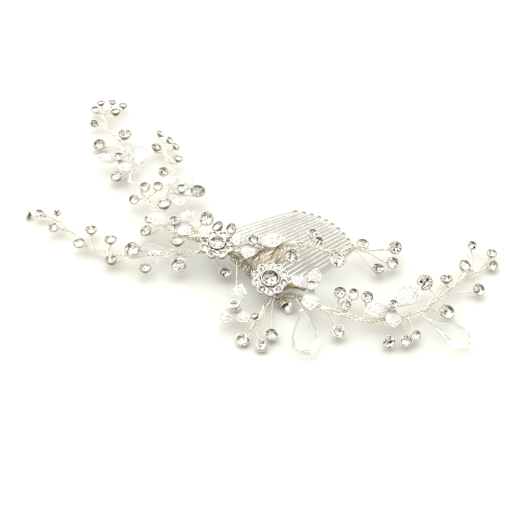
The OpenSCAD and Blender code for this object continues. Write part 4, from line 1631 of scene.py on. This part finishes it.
@dataclass(frozen=True)
class ClusterHead:
    """A soldered silver setting: a ring of small cups round a taller one, with silver grains between them.

    cup_side and plate_side give points of a profile: how far in from the rim, which part of the height, and
    how much more.
    """

    row: ClusterPlace
    plate: float = 0.8
    plate_side: tuple[Triple, ...] = ((0.3, 0, 0), (0, 0, 0.12), (0, 1, -0.12), (0.2, 1, 0))
    plate_steps: int = 40
    ring_height: float = 1.9
    middle_height: float = 2.8
    cup_foot: float = 0.02
    cup_side: tuple[Triple, ...] = (
        (0.35, 0, 0.02), (0.2, 0, 0.1), (0.1, 0.5, 0), (0.02, 0.72, 0), (0.02, 1, -0.12), (0.08, 1, 0),
        (0.18, 1, 0.05), (0.35, 1, -0.02), (0.3, 1, -0.15))
    cup_floor: float = 0.4
    # Painted shade on each cup: full at the foot, fading up the side to none at the rim, then darker again
    # inside and on the floor.
    cup_painted_shade: tuple[float, ...] = (1, 1, 0.6, 0.2, 0.05, 0, 0, 0, 0.15, 0.7)
    cup_steps: int = 28
    grain: float = 0.42
    grain_off: Pair = (-0.9, 0.75)
    grain_height: float = 0.72
    grain_rows: int = 9
    grain_sides: int = 12

    @staticmethod
    def points(side: Sequence[Triple], rim: float, height: float) -> list[Pair]:
        """Returns the points of a side table for a rim of that radius and height."""
        return [(rim - inward, part * height + more) for inward, part, more in side]

    def socket(self, net: Net, width: float, height: float, placing: Placing) -> None:
        """Adds one open cup of the setting.

        Args:
            net: The net that it goes into.
            width: The width over its rim.
            height: The height of its rim over the plate's foot.
            placing: Where it stands.
        """
        r = width / 2
        profile = [(0, self.cup_foot), *self.points(self.cup_side, r, height),
                   ((r - BEZEL.wall) * self.cup_floor, self.plate), (0, self.plate)]
        net.turned(profile, self.cup_steps, placing, vec(self.cup_painted_shade))

    def spots(self, radius: float, height: float = 0.0, turn: float = 0.0) -> list[Vec]:
        """Returns a circle of as many points over the plate as it has small cups."""
        turns = around(self.row.count, turn)
        return [vec([radius * math.cos(a), radius * math.sin(a), height]) for a in turns]

    def build(self) -> None:
        """Makes the setting, the ring of small stones and the middle stone."""
        row = self.row
        placing = Placing.facing(spot(row), row.tilt, row.toward)
        setting, ring, middle = Net(), Net(), Net()
        side = self.points(self.plate_side, row.ring, self.plate)
        # The plate under the cups is painted all in shade.
        setting.turned([(0, 0), *side, (0, self.plate)], self.plate_steps, placing, 1.0)
        cups = [(ring, row.small, self.ring_height, placing.shifted(at)) for at in self.spots(row.ring)]
        for net, width, height, at in [*cups, (middle, row.middle, self.middle_height, placing)]:
            self.socket(setting, width, height, at)
            BRILLIANT.cut(net, BEZEL.stone_radius(width), height - self.plate - GAP, at, height)
        inner, outer = (row.ring * math.cos(math.pi / row.count) + off for off in self.grain_off)
        height = self.ring_height * self.grain_height
        for pair in zip(self.spots(inner, height, 0.5), self.spots(outer, height, 0.5)):
            for at in pair:
                setting.turned(ball(self.grain, self.grain_rows), self.grain_sides, placing.shifted(at))
        node = f"cluster_{row.name}"
        setting.build(f"setting_{row.name}", [SETTING], Slot.SILVER_CUP, [f"{node}_setting"])
        ring.build(f"ring_brilliants_{row.name}", [STONE_GLASS, FOIL], Slot.STONE, [f"{node}_ring"])
        middle.build(f"middle_brilliant_{row.name}", [STONE_GLASS, FOIL], Slot.STONE, [f"{node}_middle"])


@dataclass(frozen=True)
class BeadDrop:
    """A clear flattened drop cut in facets, with a few turns of gold wire at its neck."""

    row: DropPlace
    length: float = 17.0
    width: float = 9.2
    thick: float = 6.0
    sides: int = 14
    cuts: tuple[Pair, ...] = (
        (0, 0.1), (0.1, 0.23), (0.46, 0.76), (0.64, 0.95), (0.78, 0.92), (0.9, 0.7), (0.97, 0.4), (1, 0.12))
    shade_every: int = 3
    neck_wire: float = 0.3
    neck_turns: float = 3.5
    neck_steps: int = 16
    neck_span: Pair = (-0.25, 1.5)
    neck_swell: Pair = (0.62, 0.34)
    neck_wide: float = 1.1
    neck_thick: float = 0.9
    neck_sides: int = 7

    def build(self) -> None:
        """Makes the drop and the wire at its neck."""
        row = self.row
        axis = leaning(90 + row.fall, row.toward)
        flat = leaning(90, row.toward + 90)
        placing = Placing(spot(row) + GAP * axis, axis, flat, np.cross(axis, flat))
        self.cut(placing)
        neck = Net()
        turn = np.linspace(0, 2 * math.pi * self.neck_turns, int(self.neck_turns * self.neck_steps) + 1)
        along = np.linspace(*self.neck_span, len(turn))
        least, more = self.neck_swell
        swell = row.size * (least + more * np.maximum(along, 0))
        helix = [along, swell * self.neck_wide * np.cos(turn), swell * self.neck_thick * np.sin(turn)]
        neck.wire(placing.move(np.stack(helix, axis=1)), self.neck_wire / 2, self.neck_sides)
        neck.build(f"neck_wire_{row.name}", [GOLD_WIRE], Slot.GOLD_WIRE)

    def cut(self, placing: Placing) -> None:
        """Makes the drop itself, with every few facets in the shaded glass.

        Args:
            placing: Its neck, with x along it and z across its flat side.
        """
        points, faces = [], []
        size, n, last = self.row.size, self.sides, len(self.cuts) - 1
        for i, (far, wide) in enumerate(self.cuts):
            a = around(n, (i % 2) / 2)
            half = size * wide / 2
            along = np.full(n, size * self.length * far)
            across, over = self.width * half * np.cos(a), self.thick * half * np.sin(a)
            points.append(np.stack([along, across, over], axis=1))
        for i in range(last):
            for k in range(n):
                a, b = i * n + k, i * n + (k + 1) % n
                faces += [(a, b, b + n), (a, b + n, a + n)] if i % 2 else [(a, b, a + n), (b, b + n, a + n)]
        faces += [tuple(range(n))[::-1], tuple(range(last * n, (last + 1) * n))]
        drop = Net()
        coats = [int((k // 2) % self.shade_every == 0) for k in range(len(faces))]
        drop.add(placing.move(np.concatenate(points)), faces, coats, smooth=False)
        name = self.row.name
        drop.build(f"cut_drop_{name}", [DROP_GLASS, DROP_SHADE], Slot.DROP, [f"drop_{name}"])


# The table, the light and the camera.


@dataclass(frozen=True)
class Card:
    """A round dark card in the studio's white surroundings: where it stands and its two radii, in degrees."""

    azimuth: float
    elevation: float
    inner: float = 4
    outer: float = 7

    @property
    def way(self) -> Triple:
        """The direction in which it stands."""
        return tuple(leaning(90 - self.elevation, self.azimuth))


@dataclass(frozen=True)
class Studio:
    """A white table in white surroundings with a few dark cards, a soft key light and the camera."""

    look_at: Triple = (2, -27, 0)
    elevation: float = 42.0
    distance: float = 385.0
    focal_px: float = 1000.0
    frame_px: float = 520.0
    sensor: float = 36.0
    table: float = 4000.0
    key_at: Triple = (-150, 130, 560)
    key_size: float = 1100.0
    key_power: float = 4.7
    sky_strength: float = 1.34
    low_sky: float = 0.2
    low_end: float = 15.0
    sky: Colour = (1.0, 0.99, 0.955)
    card: Colour = (0.01, 0.01, 0.01)
    cards: tuple[Card, ...] = (
        Card(-90, 44, 6, 10), Card(-72, 62), Card(-118, 34), Card(-42, 38), Card(-140, 58), Card(-10, 55),
        Card(160, 50), Card(125, 26), Card(70, 24), Card(30, 42), Card(-100, 76, 3, 6), Card(-175, 28),
        Card(0, 26), Card(-75, 24, 3, 6))
    squares: int = 8
    clip: Pair = (0.01, 20)

    @staticmethod
    def add(name: str, data: bpy.types.ID) -> bpy.types.Object:
        """Adds an object to the scene.

        Args:
            name: Its name.
            data: Its mesh, lamp or camera.

        Returns:
            The object.
        """
        thing = bpy.data.objects.new(name, data)
        bpy.context.scene.collection.objects.link(thing)
        return thing

    def lay_table(self) -> None:
        """Makes the white table."""
        n = self.squares
        steps = np.linspace(-self.table / 2, self.table / 2, n + 1)
        points = vec([(x, y, 0) for y in steps for x in steps]) * MM
        corners = [j * (n + 1) + i for j in range(n) for i in range(n)]
        mesh = bpy.data.meshes.new("table_top")
        mesh.from_pydata(points, [], [(i, i + 1, i + n + 2, i + n + 1) for i in corners])
        mesh.materials.append(PAPER.material())
        self.add("table_top", mesh)

    def light(self) -> None:
        """Sets the surroundings and the key light."""
        world = bpy.data.worlds.new("studio")
        bpy.context.scene.world = world
        world.use_nodes = True
        shade = Shade(world.node_tree)
        way = shade.node("ShaderNodeTexCoord", output="Generated")
        shadow: "Sock | float" = 0.0
        for card in self.cards:
            dot = {"operation": "DOT_PRODUCT"}
            near = shade.node("ShaderNodeVectorMath", dot, {0: way, 1: card.way}, "Value")
            shadow = near.ramp(*(math.cos(math.radians(edge)) for edge in (card.outer, card.inner))) + shadow
        height = shade.node("ShaderNodeSeparateXYZ", None, {0: way}, "Z")
        low = (1 - height.ramp(0, math.sin(math.radians(self.low_end)))) * (1 - self.low_sky)
        colour = shade.mix(shadow + low - shadow * low, self.sky, self.card)
        back = shade.node("ShaderNodeBackground", None, {"Color": colour, "Strength": self.sky_strength})
        shade.node("ShaderNodeOutputWorld", None, {"Surface": back})
        lamp = bpy.data.lights.new("key", "AREA")
        lamp.size = self.key_size * MM
        lamp.energy = self.key_power
        key = self.add("key", lamp)
        key.location = vec(self.key_at) * MM
        key.rotation_euler = self.aim(vec(self.look_at) - vec(self.key_at))

    @staticmethod
    def aim(way: Vec) -> tuple[float, float, float]:
        """Returns the turn that points a light or a camera that way, its upper side up."""
        flat = math.hypot(way[0], way[1])
        return (math.atan2(flat, -way[2]), 0.0, math.atan2(-way[0], way[1]))

    def set_camera(self) -> None:
        """Sets the camera at the photograph's angle."""
        data = bpy.data.cameras.new("camera")
        data.sensor_width = self.sensor
        data.lens = self.focal_px / self.frame_px * self.sensor
        data.clip_start, data.clip_end = self.clip
        camera = self.add("camera", data)
        bpy.context.scene.camera = camera
        away = leaning(90 - self.elevation, -90) * self.distance
        camera.location = (vec(self.look_at) + away) * MM
        camera.rotation_euler = self.aim(-away)

    def build(self) -> None:
        """Sets the camera, the table and the light."""
        self.set_camera()
        self.lay_table()
        self.light()
        bpy.context.scene.view_settings.view_transform = "Standard"
        log.info("studio ready")


def main() -> None:
    """Builds the comb, the spray and the studio."""
    logging.basicConfig(level=logging.INFO, format="%(name)s: %(message)s")
    Studio().build()
    BAR.build()
    Teeth().build()
    Lashing().build()
    for arm in Arm:
        Stem(arm).build()
        if arm in STONES:
            CupSet(arm).build()
    for flower in FLOWERS:
        FlowerHead(flower).build()
    FlowerStones().build()
    for cluster in CLUSTERS:
        ClusterHead(cluster).build()
    for drop in DROPS:
        BeadDrop(drop).build()
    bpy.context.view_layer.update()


if __name__ == "__main__":
    main()
